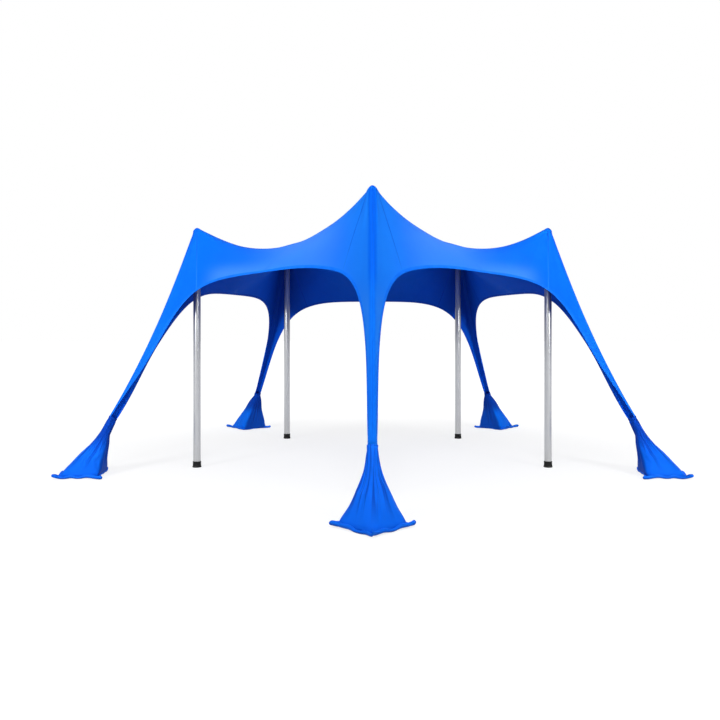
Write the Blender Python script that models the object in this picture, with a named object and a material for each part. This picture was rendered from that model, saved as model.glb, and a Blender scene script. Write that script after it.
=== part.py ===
# Beach sun shelter: a stretch fabric canopy over a regular pentagon of poles,
# drawn down to a sand-filled bag outside each pole.
import bpy
import bmesh
import numpy as np
from math import acos, comb, cos, pi, radians, sin, sqrt, tau
from mathutils import Vector

# Plan of the shelter, in metres
CORNERS = ("front", "right", "back_right", "back_left", "left")
FIRST_CORNER = -90.0
POLE_RING = 1.62
PEAK_HEIGHT = 1.2955 * POLE_RING
FRONT_PEAK_HEIGHT = 1.395 * POLE_RING

# Hem of the canopy, beside the leg's centre line
NECK_REACH = 1.421 * POLE_RING
NECK_WIDTH = 0.022 * POLE_RING
NECK_HEIGHT = 0.27 * POLE_RING
NECK_DEPTH = 0.029 * POLE_RING
HEM_LOWER = (1.346 * POLE_RING, 0.021 * POLE_RING, 0.410 * POLE_RING)
HEM_UPPER = (1.048 * POLE_RING, 0.025 * POLE_RING, 0.966 * POLE_RING)
HEM_TURN = 0.593 * POLE_RING
ARCH_REACH = 0.908 * POLE_RING
ARCH_HEIGHT = 0.962 * POLE_RING
FRONT_LOWER_LIFT = 0.127 * POLE_RING
FRONT_UPPER_LIFT = 0.150 * POLE_RING
FRONT_ARCH_LIFT = 0.065 * POLE_RING

# Fabric and its pull
FABRIC = 0.003
SEAM_GAP = 0.0003
POCKET_RADIUS = 0.0215 * POLE_RING
POCKET_RISE = 0.0215 * POLE_RING
HOOP_PULL = 0.0937
HOOP_FADE = -0.12
RAY_PULL_RISE = 0.3625
ARCH_PULL = 0.0525
VALLEY_SLACK = -0.70
LEG_SLACK = -0.70
PEAK_SWELL = 0.0012 * POLE_RING
SWELL_RING = 2.4375

# Poles, their feet and their caps
POLE_RADIUS = 0.03175
POLE_WALL = 0.002
FOOT_RADIUS = 0.0395
FOOT_HEIGHT = 0.053
FOOT_FLOOR = 0.010
CAP_SKIRT = 0.012
CAP_EASE = 0.0015
SPIGOT_LENGTH = 0.040

# Sandbags: half a side, then each one's place along and across its leg and its turn
BAG_HALF = 0.158
BASE_HALF = 0.161
BASE_THICKNESS = 0.003
EAR_REACH = 0.165 * POLE_RING
EAR_WIDTH = 0.028
BAG_FRONT = (1.586 * POLE_RING, 0.0, 0.0)
BAG_SIDE = (1.577 * POLE_RING, -0.060 * POLE_RING, 32.0)
BAG_BACK = (1.680 * POLE_RING, 0.050 * POLE_RING, 45.0)
BAG_LEVELS = ((0.0, 1.0), (0.05, 0.985), (0.14, 0.905), (0.27, 0.797), (0.42, 0.652), (0.58, 0.495),
              (0.74, 0.354), (0.88, 0.250))

# Mesh steps
NECK_RAYS = 2
HEM_RAYS = 9
VALLEY_RAYS = 4
RINGS = 8
POCKET_RINGS = 3
EVEN_RIM = 0.6
SEAM_RAY = 8
ROUND = 24

HALF = NECK_RAYS + HEM_RAYS + VALLEY_RAYS
RAYS = 2 * HALF
ARCH_RAY = NECK_RAYS + HEM_RAYS
FRONT_REACH = BAG_FRONT[0] + EAR_REACH
BACK_REACH = BAG_BACK[0] * sin(radians(54.0)) + BAG_BACK[1] * cos(radians(54.0))
BACK_REACH += EAR_REACH * cos(radians(9.0))
CENTRE = np.array((0.0, (FRONT_REACH - BACK_REACH) / 2, 0.0))


def clear_scene():
    for obj in list(bpy.data.objects):
        bpy.data.objects.remove(obj, do_unlink=True)


def material(name, color, roughness, metallic=0.0):
    made = bpy.data.materials.new(name)
    made.use_nodes = True
    shader = made.node_tree.nodes["Principled BSDF"]
    shader.inputs["Base Color"].default_value = (*color, 1.0)
    shader.inputs["Roughness"].default_value = roughness
    shader.inputs["Metallic"].default_value = metallic
    return made


def add_object(name, mesh, look):
    mesh.materials.append(look)
    obj = bpy.data.objects.new(name, mesh)
    bpy.context.scene.collection.objects.link(obj)
    return obj


def corner_angle(corner):
    return radians(FIRST_CORNER + 72.0 * corner)


# A point beside the leg of one corner, given along it, across it and up
def leg_point(corner, along, across, up):
    turn = corner_angle(corner)
    x = along * cos(turn) - across * sin(turn)
    y = along * sin(turn) + across * cos(turn)
    return np.array((x, y, up)) + CENTRE


def peak_height(corner):
    return FRONT_PEAK_HEIGHT if corner == 0 else PEAK_HEIGHT


def bezier(control, share):
    degree = len(control) - 1
    point = np.zeros(3)
    for i, knot in enumerate(control):
        point += comb(degree, i) * share**i * (1.0 - share)**(degree - i) * np.array(knot)
    return point


# Half of the canopy's edge: over the leg's neck, then up the hem to the arch
def edge_point(corner, side, ray):
    own = corner == 0
    beside = own or (corner, side) in ((1, -1), (4, 1))
    if ray < NECK_RAYS:
        turn = pi / 2 * (1.0 - ray / NECK_RAYS)
        along = NECK_REACH + 0.862 * NECK_DEPTH * sin(turn)
        up = NECK_HEIGHT + 0.507 * NECK_DEPTH * sin(turn)
        return leg_point(corner, along, side * NECK_WIDTH * cos(turn), up)
    lower = HEM_LOWER[2] + (FRONT_LOWER_LIFT if own else 0.0)
    upper = HEM_UPPER[2] + (FRONT_UPPER_LIFT if own else 0.0)
    arch = ARCH_HEIGHT + (FRONT_ARCH_LIFT if beside else 0.0)
    half = radians(36.0)
    middle = (ARCH_REACH * cos(half), ARCH_REACH * sin(half), arch)
    bend = (middle[0] + HEM_TURN * sin(half), middle[1] - HEM_TURN * cos(half), arch)
    knots = [(NECK_REACH, NECK_WIDTH, NECK_HEIGHT)]
    knots.append((HEM_LOWER[0], HEM_LOWER[1], lower))
    knots.append((HEM_UPPER[0], HEM_UPPER[1], upper))
    knots.append(bend)
    knots.append(middle)
    along, across, up = bezier(knots, (ray - NECK_RAYS) / HEM_RAYS)
    return leg_point(corner, along, side * across, up)


# The canopy's net: rays from each peak to the hem, to the valleys and the centre
class Net:
    def __init__(self):
        self.points = []
        self.held = []
        self.index = {}
        self.cells = []
        for corner in range(5):
            self.cells.append(self.cell(corner))
        self.points = np.array(self.points)
        self.pull_tight()
        self.add_pockets()

    def add(self, key, point, held):
        if key not in self.index:
            self.index[key] = len(self.points)
            self.points.append(point)
            self.held.append(held)
        return self.index[key]

    def outer_end(self, corner, side, ray):
        edge = (corner if side == 1 else corner - 1) % 5
        if ray < ARCH_RAY:
            return self.add(("edge", corner, side, ray), edge_point(corner, side, ray), True)
        if ray == ARCH_RAY:
            return self.add(("arch", edge), edge_point(corner, side, ray), True)
        if ray < HALF:
            share = 1.0 - (ray - ARCH_RAY) / VALLEY_RAYS
            across = side * share * ARCH_REACH * sin(radians(36.0))
            start = leg_point(corner, share * ARCH_REACH * cos(radians(36.0)), across, 1.1 * POLE_RING)
            return self.add(("valley", edge, ray), start, False)
        return self.add(("centre",), leg_point(0, 0.0, 0.0, 1.1 * POLE_RING), False)

    # Rays leave the pocket's rim toward their ends, but spread more evenly round it
    def rim_point(self, corner, side, ray, end):
        away = end - leg_point(corner, POLE_RING, 0.0, 0.0)
        turn = corner_angle(corner)
        along = away[0] * cos(turn) + away[1] * sin(turn)
        straight = acos(max(-1.0, min(1.0, along / sqrt(away[0]**2 + away[1]**2))))
        angle = straight * (1.0 - EVEN_RIM) + pi * ray / HALF * EVEN_RIM
        reach = POLE_RING + POCKET_RADIUS * cos(angle)
        height = peak_height(corner) - POCKET_RISE
        return leg_point(corner, reach, side * POCKET_RADIUS * sin(angle), height)

    def cell(self, corner):
        grid = np.zeros((RAYS, RINGS + 1), int)
        for side in (1, -1):
            for ray in range(HALF + 1):
                if side == -1 and ray in (0, HALF):
                    continue
                column = ray if side == 1 else RAYS - ray
                last = self.outer_end(corner, side, ray)
                inner = self.rim_point(corner, side, ray, self.points[last])
                grid[column, 0] = self.add(("rim", corner, column), inner, True)
                for ring in range(1, RINGS):
                    between = inner + (self.points[last] - inner) * ring / RINGS
                    grid[column, ring] = self.add(("net", corner, column, ring), between, False)
                grid[column, RINGS] = last
        return grid

    # Every string pulls by its own share, and the free knots rest where pulls balance
    def pull_tight(self):
        count = len(self.points)
        pulls = np.zeros((count, count))
        loads = np.zeros((count, 3))

        def string(a, b, pull):
            pulls[a, a] += pull
            pulls[b, b] += pull
            pulls[a, b] -= pull
            pulls[b, a] -= pull

        for corner, grid in enumerate(self.cells):
            for column in range(RAYS):
                ray = min(column, RAYS - column)
                slack = 1.0 + VALLEY_SLACK * max(0, ray - ARCH_RAY) / VALLEY_RAYS
                if ray <= NECK_RAYS:
                    slack *= 1.0 + LEG_SLACK
                for ring in range(RINGS):
                    rise = ((ring + 0.5) / RINGS)**RAY_PULL_RISE
                    string(grid[column, ring], grid[column, ring + 1], slack * rise)
                following = (column + 1) % RAYS
                for ring in range(1, RINGS + 1):
                    hoop = HOOP_PULL * (ring / RINGS)**HOOP_FADE
                    if ring == RINGS:
                        hoop *= 0.5 * ARCH_PULL
                    if grid[column, ring] != grid[following, ring]:
                        string(grid[column, ring], grid[following, ring], hoop)
            swell = PEAK_SWELL if corner == 0 else -PEAK_SWELL
            for ring in range(1, RINGS):
                loads[grid[:, ring], 2] += swell * np.exp(-((ring - SWELL_RING) / 2.0)**2)
        held = np.array(self.held)
        free = ~held
        known = pulls[np.ix_(free, held)] @ self.points[held]
        self.points[free] = np.linalg.solve(pulls[np.ix_(free, free)], loads[free] - known)

    # A round fabric pocket closes the net over the head of each pole
    def add_pockets(self):
        self.pockets = []
        extra = []
        count = len(self.points)
        for corner in range(5):
            peak = leg_point(corner, POLE_RING, 0.0, peak_height(corner))
            rings = [self.cells[corner][:, 0]]
            for step in range(1, POCKET_RINGS):
                share = 1.0 - step / POCKET_RINGS
                ring = []
                for column in range(RAYS):
                    rim = self.points[self.cells[corner][column, 0]]
                    point = peak + (rim - peak) * share
                    point[2] = peak[2] - POCKET_RISE * share**2
                    extra.append(point)
                    ring.append(count + len(extra) - 1)
                rings.append(np.array(ring))
            extra.append(peak)
            self.pockets.append((rings, count + len(extra) - 1))
        self.points = np.vstack([self.points, extra])


# Faces of the net, as rings of four or three corners facing up
def cell_faces(grid, columns):
    faces = []
    for column in columns:
        following = (column + 1) % RAYS
        for ring in range(RINGS):
            quad = [grid[column, ring], grid[column, ring + 1], grid[following, ring + 1]]
            quad.append(grid[following, ring])
            faces.append(quad)
    return faces


def pocket_faces(rings, tip):
    faces = []
    for column in range(RAYS):
        following = (column + 1) % RAYS
        for outer, inner in zip(rings, rings[1:]):
            faces.append([inner[column], outer[column], outer[following], inner[following]])
        faces.append([rings[-1][column], rings[-1][following], tip])
    return faces


# Both skins of a panel split a bent quad along the same, shorter diagonal
def in_triangles(points, faces):
    split = []
    for face in faces:
        if len(face) == 3:
            split.append(face)
            continue
        a, b, c, d = face
        first = np.linalg.norm(points[a] - points[c])
        second = np.linalg.norm(points[b] - points[d])
        split += [[a, b, c], [a, c, d]] if first < second else [[a, b, d], [b, c, d]]
    return split


def face_normal(points, face):
    total = np.zeros(3)
    for i in range(len(face)):
        total += np.cross(points[face[i]], points[face[(i + 1) % len(face)]])
    return total


def point_normals(points, faces):
    normals = np.zeros((len(points), 3))
    for face in faces:
        total = face_normal(points - points[face[0]], face)
        if total[2] < 0.0 and abs(total[2]) > 0.9 * np.linalg.norm(total):
            raise ValueError("a face of the net looks down")
        for corner in face:
            normals[corner] += total
    lengths = np.linalg.norm(normals, axis=1)
    return normals / lengths[:, None]


# The boundary edges of a patch, and how each of its points moves in from the seam
def seam_shift(points, faces, outer_edge):
    count = {}
    for face in faces:
        for i in range(len(face)):
            pair = tuple(sorted((face[i], face[(i + 1) % len(face)])))
            count[pair] = count.get(pair, 0) + 1
    shift = {}
    for face in faces:
        middle = points[face].mean(axis=0)
        for i in range(len(face)):
            a, b = face[i], face[(i + 1) % len(face)]
            pair = tuple(sorted((a, b)))
            if count[pair] != 1 or (a in outer_edge and b in outer_edge):
                continue
            line = points[b] - points[a]
            line /= np.linalg.norm(line)
            inward = middle - points[a]
            inward -= line * inward.dot(line)
            inward /= np.linalg.norm(inward)
            for end in (a, b):
                shift.setdefault(end, []).append(inward)
    moves = {}
    for end, pushes in shift.items():
        total = np.sum(pushes, axis=0)
        total /= np.linalg.norm(total)
        reach = min(push.dot(total) for push in pushes)
        moves[end] = total * SEAM_GAP / 2 / reach
    return moves


# A closed fabric panel: the patch's upper and lower skins joined round its edge
def fabric_panel(name, net, normals, faces, outer_edge, look):
    faces = in_triangles(net.points, faces)
    moves = seam_shift(net.points, faces, outer_edge)
    used = sorted({corner for face in faces for corner in face})
    mesh = bpy.data.meshes.new(name)
    shape = bmesh.new()
    upper = {}
    lower = {}
    for corner in used:
        middle = net.points[corner] + moves.get(corner, 0.0)
        upper[corner] = shape.verts.new(middle + normals[corner] * FABRIC / 2)
        lower[corner] = shape.verts.new(middle - normals[corner] * FABRIC / 2)
    border = {}
    for face in faces:
        shape.faces.new([upper[corner] for corner in face])
        shape.faces.new([lower[corner] for corner in reversed(face)])
        for i in range(len(face)):
            a, b = face[i], face[(i + 1) % len(face)]
            border[(a, b)] = (b, a) not in border
            if not border[(a, b)]:
                border[(b, a)] = False
    for (a, b), open_edge in border.items():
        if open_edge:
            shape.faces.new([upper[b], upper[a], lower[a], lower[b]])
    shape.normal_update()
    shape.to_mesh(mesh)
    shape.free()
    mesh.shade_smooth()
    return add_object(name, mesh, look)


def build_canopy(looks):
    net = Net()
    faces = []
    for corner in range(5):
        faces += cell_faces(net.cells[corner], range(RAYS))
        faces += pocket_faces(*net.pockets[corner])
    normals = point_normals(net.points, faces)
    outer_edge = set()
    for key, index in net.index.items():
        if key[0] in ("edge", "arch"):
            outer_edge.add(index)
        if key[0] == "edge" and key[3] <= NECK_RAYS:
            leg = np.array((0.507 * cos(corner_angle(key[1])), 0.507 * sin(corner_angle(key[1])), -0.862))
            flat = normals[index] - leg * normals[index].dot(leg)
            normals[index] = flat / np.linalg.norm(flat)
    for corner, name in enumerate(CORNERS):
        leg = [(column - SEAM_RAY) % RAYS for column in range(2 * SEAM_RAY)]
        patch = cell_faces(net.cells[corner], leg)
        fabric_panel("leg_panel_" + name, net, normals, patch, outer_edge, looks["leg"])
        following = (corner + 1) % 5
        patch = cell_faces(net.cells[corner], range(SEAM_RAY, HALF))
        patch += cell_faces(net.cells[following], range(HALF, RAYS - SEAM_RAY))
        title = "roof_panel_" + name + "_to_" + CORNERS[following]
        fabric_panel(title, net, normals, patch, outer_edge, looks["roof"])
        patch = pocket_faces(*net.pockets[corner])
        fabric_panel("peak_pocket_" + name, net, normals, patch, outer_edge, looks["pocket"])


# A closed turned solid from an outline of radius and height, outward and upward
def turned(name, outline, place, look):
    mesh = bpy.data.meshes.new(name)
    shape = bmesh.new()
    rings = []
    for radius, height in outline:
        if radius == 0.0:
            rings.append([shape.verts.new((0.0, 0.0, height))])
            continue
        ring = []
        for step in range(ROUND):
            turn = tau * step / ROUND
            ring.append(shape.verts.new((radius * cos(turn), radius * sin(turn), height)))
        rings.append(ring)
    closed = outline[0][0] != 0.0
    pairs = list(zip(rings, rings[1:]))
    if closed:
        pairs.append((rings[-1], rings[0]))
    for low, high in pairs:
        for step in range(ROUND):
            following = (step + 1) % ROUND
            if len(low) == 1:
                shape.faces.new([low[0], high[following], high[step]])
            elif len(high) == 1:
                shape.faces.new([low[step], low[following], high[0]])
            else:
                shape.faces.new([low[step], low[following], high[following], high[step]])
    bmesh.ops.recalc_face_normals(shape, faces=shape.faces[:])
    shape.to_mesh(mesh)
    shape.free()
    mesh.shade_smooth()
    mesh.set_sharp_from_angle(angle=radians(35.0))
    obj = add_object(name, mesh, look)
    obj.location = place
    return obj


# Height of the pocket's underside above the pole, less the clearance
def cap_height(peak, radius):
    share = radius / POCKET_RADIUS * POCKET_RINGS
    ring = min(int(share), POCKET_RINGS - 1)
    low = (ring / POCKET_RINGS)**2
    high = ((ring + 1) / POCKET_RINGS)**2
    drop = POCKET_RISE * (low + (high - low) * (share - ring))
    slope = 2.0 * POCKET_RISE * radius / POCKET_RADIUS**2
    lower = (FABRIC / 2 + SEAM_GAP) * sqrt(1.0 + slope**2)
    return peak - drop - lower - CAP_EASE * radius / POLE_RADIUS


def build_pole(corner, name, looks):
    peak = peak_height(corner)
    place = Vector(leg_point(corner, POLE_RING, 0.0, 0.0))
    bore = POLE_RADIUS - POLE_WALL
    rim = cap_height(peak, POLE_RADIUS)
    top = rim - CAP_SKIRT
    seat = FOOT_FLOOR + SEAM_GAP
    tube = [(POLE_RADIUS, seat), (POLE_RADIUS, top), (bore, top), (bore, seat)]
    turned("pole_" + name, tube, place, looks["pole"])
    cup = POLE_RADIUS + SEAM_GAP
    foot = [(0.0, 0.0), (FOOT_RADIUS - 0.003, 0.0), (FOOT_RADIUS, 0.004)]
    foot += [(FOOT_RADIUS - 0.004, 0.020), (cup + 0.003, FOOT_HEIGHT - 0.003), (cup + 0.002, FOOT_HEIGHT)]
    foot += [(cup, FOOT_HEIGHT), (cup, FOOT_FLOOR), (0.0, FOOT_FLOOR)]
    turned("pole_foot_" + name, foot, place, looks["foot"])
    plug = bore - SEAM_GAP
    cap = [(0.0, top - SPIGOT_LENGTH), (plug, top - SPIGOT_LENGTH), (plug, top + SEAM_GAP)]
    cap.append((POLE_RADIUS, top + SEAM_GAP))
    cap.append((POLE_RADIUS, cap_height(peak, POLE_RADIUS)))
    for ring in range(POCKET_RINGS - 1, 0, -1):
        radius = POCKET_RADIUS * ring / POCKET_RINGS
        cap.append((radius, cap_height(peak, radius)))
    cap.append((0.0, cap_height(peak, 0.0)))
    turned("pole_cap_" + name, cap, place, looks["cap"])


# The middle of a sandbag's base, and the direction of one of its corners
def bag_place(corner):
    along, across, turn = (BAG_FRONT, BAG_SIDE, BAG_BACK, BAG_BACK, BAG_SIDE)[corner]
    side = 1.0 if corner in (1, 2) else -1.0
    place = leg_point(corner, along, side * across, 0.0)
    return place, corner_angle(corner) - side * radians(turn)


# A sandbag swells over its square base and narrows to the neck of its leg
def build_bag(corner, name, looks):
    turn = corner_angle(corner)
    outward = np.array((cos(turn), sin(turn), 0.0))
    sideways = np.array((-sin(turn), cos(turn), 0.0))
    up = np.array((0.0, 0.0, 1.0))
    base, square = bag_place(corner)
    over = 0.862 * outward + 0.507 * up
    neck = leg_point(corner, NECK_REACH, 0.0, NECK_HEIGHT) + over * (NECK_DEPTH / 2)
    neck += (0.507 * outward - 0.862 * up) * SEAM_GAP * 1.5
    shape = bmesh.new()
    rings = []
    for rise, spread in BAG_LEVELS:
        middle = base + (neck - base) * rise**1.15
        middle[2] = BASE_THICKNESS + SEAM_GAP + rise * (neck[2] - BASE_THICKNESS)
        sharp = 2.0 + 10.0 * (1.0 - rise)**2
        ring = []
        for step in range(ROUND):
            angle = tau * step / ROUND
            reach = (abs(cos(angle))**sharp + abs(sin(angle))**sharp)**(-1.0 / sharp)
            pleat = 1.0 + 0.12 * cos(8.0 * angle) * rise * (1.0 - rise)
            reach *= BAG_HALF * spread * pleat
            ring.append(shape.verts.new(middle + turned_by(reach, angle + square + pi / 4)))
        rings.append(ring)
    last = []
    for step in range(ROUND):
        angle = tau * step / ROUND + square + pi / 4 - turn
        flat = over * cos(angle) * (NECK_DEPTH / 2 + FABRIC)
        last.append(shape.verts.new(neck + flat + sideways * sin(angle) * (NECK_WIDTH + FABRIC)))
    rings.append(last)
    for low, high in zip(rings, rings[1:]):
        for step in range(ROUND):
            following = (step + 1) % ROUND
            shape.faces.new([low[step], low[following], high[following], high[step]])
    shape.faces.new(list(reversed(rings[0])))
    shape.faces.new(rings[-1])
    bmesh.ops.recalc_face_normals(shape, faces=shape.faces[:])
    mesh = bpy.data.meshes.new("sandbag_" + name)
    shape.to_mesh(mesh)
    shape.free()
    mesh.shade_smooth()
    mesh.set_sharp_from_angle(angle=radians(50.0))
    add_object("sandbag_" + name, mesh, looks["bag"])


def turned_by(reach, angle):
    return np.array((reach * cos(angle), reach * sin(angle), 0.0))


# The bag's square base panel with a small ear at each corner
def build_base(corner, name, looks):
    base, square = bag_place(corner)
    shape = bmesh.new()
    outline = []
    shoulder = BASE_HALF * sqrt(2.0) - EAR_WIDTH
    ear = ((shoulder, -1.0), (EAR_REACH - 0.008, -0.55), (EAR_REACH, 0.0), (EAR_REACH - 0.008, 0.55))
    ear += ((shoulder, 1.0),)
    for quarter in range(4):
        angle = square + quarter * pi / 2
        for reach, aside in ear:
            across = turned_by(EAR_WIDTH * aside, angle + pi / 2)
            outline.append(base + turned_by(reach, angle) + across)
    bottom = shape.faces.new([shape.verts.new(point) for point in outline])
    grown = bmesh.ops.extrude_face_region(shape, geom=[bottom])
    lifted = [item for item in grown["geom"] if isinstance(item, bmesh.types.BMVert)]
    bmesh.ops.translate(shape, verts=lifted, vec=(0.0, 0.0, BASE_THICKNESS))
    bmesh.ops.recalc_face_normals(shape, faces=shape.faces[:])
    mesh = bpy.data.meshes.new("bag_base_" + name)
    shape.to_mesh(mesh)
    shape.free()
    add_object("bag_base_" + name, mesh, looks["base"])


def build():
    clear_scene()
    looks = {
        "roof": material("roof_fabric", (0.02, 0.18, 0.95), 0.75),
        "leg": material("leg_fabric", (0.015, 0.16, 0.90), 0.75),
        "pocket": material("pocket_fabric", (0.01, 0.13, 0.85), 0.7),
        "bag": material("bag_fabric", (0.01, 0.15, 0.85), 0.7),
        "base": material("base_fabric", (0.01, 0.11, 0.7), 0.75),
        "pole": material("satin_aluminium", (0.60, 0.61, 0.62), 0.35, 1.0),
        "foot": material("black_rubber", (0.02, 0.02, 0.02), 0.7),
        "cap": material("black_plastic", (0.03, 0.03, 0.03), 0.5),
    }
    build_canopy(looks)
    for corner, name in enumerate(CORNERS):
        build_pole(corner, name, looks)
        build_bag(corner, name, looks)
        build_base(corner, name, looks)


build()
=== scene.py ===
# %% [markdown]
# # Beach sun shelter
# A stretch fabric canopy is pushed up by five poles and pulled down by five sand-filled bags.
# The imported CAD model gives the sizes, and this notebook gives it its looks: real cloth with
# hems and seams, filled bags, smooth metal tubes and rubber feet.

# %% The fixed frame
from math import acos, comb, cos, pi, radians, sin, sqrt, tau

import bmesh
import bpy
import numpy as np
from mathutils import Matrix, Vector
from mathutils.bvhtree import BVHTree


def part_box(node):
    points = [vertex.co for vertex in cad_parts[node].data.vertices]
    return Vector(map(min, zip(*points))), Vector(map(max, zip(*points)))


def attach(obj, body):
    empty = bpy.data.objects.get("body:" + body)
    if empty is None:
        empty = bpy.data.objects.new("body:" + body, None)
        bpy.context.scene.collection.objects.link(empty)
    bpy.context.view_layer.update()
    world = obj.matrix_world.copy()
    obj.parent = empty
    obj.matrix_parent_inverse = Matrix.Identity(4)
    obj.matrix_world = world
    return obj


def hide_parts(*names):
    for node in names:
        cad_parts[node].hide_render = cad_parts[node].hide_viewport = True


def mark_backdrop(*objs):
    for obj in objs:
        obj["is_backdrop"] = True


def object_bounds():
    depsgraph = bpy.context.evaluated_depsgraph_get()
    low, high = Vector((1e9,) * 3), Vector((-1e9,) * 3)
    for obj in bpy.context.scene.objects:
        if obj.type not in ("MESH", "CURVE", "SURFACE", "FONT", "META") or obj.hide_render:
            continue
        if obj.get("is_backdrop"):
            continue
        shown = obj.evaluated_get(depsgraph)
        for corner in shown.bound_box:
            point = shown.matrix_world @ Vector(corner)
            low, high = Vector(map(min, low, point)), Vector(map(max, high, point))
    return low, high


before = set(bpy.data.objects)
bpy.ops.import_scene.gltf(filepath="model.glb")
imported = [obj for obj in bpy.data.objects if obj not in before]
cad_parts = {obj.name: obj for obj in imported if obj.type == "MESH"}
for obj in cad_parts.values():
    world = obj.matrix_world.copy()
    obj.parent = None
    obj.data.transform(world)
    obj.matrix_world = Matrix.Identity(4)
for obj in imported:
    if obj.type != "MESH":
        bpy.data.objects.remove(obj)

cad_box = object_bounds()
print("CAD box, metres:", [[round(x, 4) for x in corner] for corner in cad_box])

# %% [markdown]
# ## The five corners
# The poles stand on a regular pentagon, and the front one is taller. Their places are read
# from the CAD nodes, so every piece made here starts from the same points as the solids.

# %% Corners of the plan
CORNERS = ("front", "right", "back_right", "back_left", "left")
RING = 1.62
HALF_CELL = radians(36.0)


def node_middle(node):
    low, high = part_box(node)
    return np.array((low + high) / 2)


feet_places = np.array([node_middle("pole_foot_" + name) for name in CORNERS])
CENTRE = np.array((0.0, feet_places[:, 1].mean(), 0.0))
print("middle of the plan:", CENTRE.round(5), "ring:", np.hypot(*(feet_places[0] - CENTRE)[:2]).round(4))


def corner_angle(corner):
    return radians(72.0 * corner - 90.0)


def leg_point(corner, along, across, up):
    turn = corner_angle(corner)
    x = along * cos(turn) - across * sin(turn)
    y = along * sin(turn) + across * cos(turn)
    return np.array((x, y, up)) + CENTRE


# %% [markdown]
# ## Camera
# The picture was taken level, a little under head height, from straight in front. A level
# camera keeps the poles upright, and a small lens shift frames the shelter as the picture does.

# %% The camera
EYE_AWAY, EYE_HEIGHT = 7.2317, 1.189

camera_data = bpy.data.cameras.new("camera")
camera = bpy.data.objects.new("camera", camera_data)
bpy.context.scene.collection.objects.link(camera)
camera.location = (0.0, CENTRE[1] - EYE_AWAY, EYE_HEIGHT)
camera.rotation_euler = (radians(90.0), 0.0, 0.0)
camera_data.lens = 38.34
camera_data.shift_x = -0.01736
camera_data.shift_y = -0.0394
camera_data.clip_end = 300.0
bpy.context.scene.camera = camera
print("camera stands", EYE_AWAY, "m in front of the middle")

# %% [markdown]
# ## Shader sums in Python
# A procedural finish is a sum of patterns. Writing it as Python expressions is easier to read
# than wiring Math nodes by hand, so one small class wraps a socket and turns + - * into nodes.

# %% A socket that can be added and multiplied
class Value:
    """A socket that takes part in sums. 1.0 - mask * 0.5 adds the nodes that work it out."""

    def __init__(self, finish, socket):
        self.finish, self.socket = finish, socket

    def __add__(self, other):
        return self.finish.math("ADD", self, other)

    def __sub__(self, other):
        return self.finish.math("SUBTRACT", self, other)

    def __rsub__(self, other):
        return self.finish.math("SUBTRACT", other, self)

    def __mul__(self, other):
        return self.finish.math("MULTIPLY", self, other)

    __radd__, __rmul__ = __add__, __mul__

    def wave(self):
        return self.finish.math("SINE", self)

    def size(self):
        return self.finish.math("ABSOLUTE", self)

    def step(self, start, end):
        """0 before start, 1 after end, and a soft rise between them."""
        values = {"Value": self, "From Min": start, "From Max": end}
        return self.finish.node("ShaderNodeMapRange", {"interpolation_type": "SMOOTHSTEP"}, values)


class Finish:
    """One material: every node is added by node(), its settings first and then its sockets."""

    def __init__(self, name):
        self.material = bpy.data.materials.new(name)
        self.material.use_nodes = True
        self.tree = self.material.node_tree
        self.shader = self.tree.nodes["Principled BSDF"]
        self.place = self.node("ShaderNodeTexCoord", {}, {}, "Object")

    def plug(self, socket, value):
        """A value is linked to the socket, and a constant is set on it, a colour without its alpha."""
        if isinstance(value, Value):
            self.tree.links.new(value.socket, socket)
        else:
            socket.default_value = (*value, 1.0) if socket.type == "RGBA" else value

    def node(self, kind, settings, values, output=0):
        made = self.tree.nodes.new(kind)
        for name, value in settings.items():
            if name == "stops":
                ramp = made.color_ramp.elements
                while len(ramp) < len(value):
                    ramp.new(0.5)
                for stop, (where, colour) in zip(ramp, value):
                    stop.position = where
                    stop.color = (*colour, 1.0)
            else:
                setattr(made, name, value)
        for name, value in values.items():
            self.plug(made.inputs[name], value)
        return Value(self, made.outputs[output])

    def math(self, operation, *values):
        return self.node("ShaderNodeMath", {"operation": operation}, dict(enumerate(values)))

    def uv(self, name):
        return self.node("ShaderNodeUVMap", {"uv_map": name}, {})

    def split(self, vector):
        parts = self.node("ShaderNodeSeparateXYZ", {}, {0: vector}).socket.node
        return [Value(self, output) for output in parts.outputs]

    def noise(self, where, scale, detail, roughness=0.5):
        values = {"Vector": where, "Scale": scale, "Detail": detail, "Roughness": roughness}
        return self.node("ShaderNodeTexNoise", {}, values)

    def stretched(self, where, scale):
        return self.node("ShaderNodeVectorMath", {"operation": "MULTIPLY"}, {0: where, 1: scale})

    def blend(self, share, first, second):
        """A colour between two others. Sockets 6 and 7 of a Mix node are its colours."""
        return self.node("ShaderNodeMix", {"data_type": "RGBA"}, {0: share, 6: first, 7: second}, 2)

    def bump(self, height, distance, strength, under=None):
        values = {"Height": height, "Distance": distance, "Strength": strength}
        if under is not None:
            values["Normal"] = under
        return self.node("ShaderNodeBump", {}, values)

    def surface(self, **values):
        for name, value in values.items():
            self.plug(self.shader.inputs[name.replace("_", " ")], value)
        return self.material

    def paint(self, ground, *layers):
        """The base colour: a ground and the layers over it, each given as its share and its colour."""
        for share, colour in layers:
            ground = self.blend(share, ground, colour)
        self.surface(Base_Color=ground)

    def let_light_through(self, share, colour):
        """Cloth passes some of the light that falls on its other side."""
        through = self.node("ShaderNodeBsdfTranslucent", {}, {"Color": colour})
        own = Value(self, self.shader.outputs[0])
        mixed = self.node("ShaderNodeMixShader", {}, {0: share, 1: own, 2: through})
        self.tree.links.new(mixed.socket, self.tree.nodes["Material Output"].inputs["Surface"])


print("shader sums ready")

# %% [markdown]
# ## Studio
# The shelter stands on a pale floor in a white room. The floor and the room glow a little, so
# that they look white while the light on the cloth stays soft and comes mostly from above and
# from both sides. Their glow is hidden from the cloth itself, which would look flat otherwise.

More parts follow.
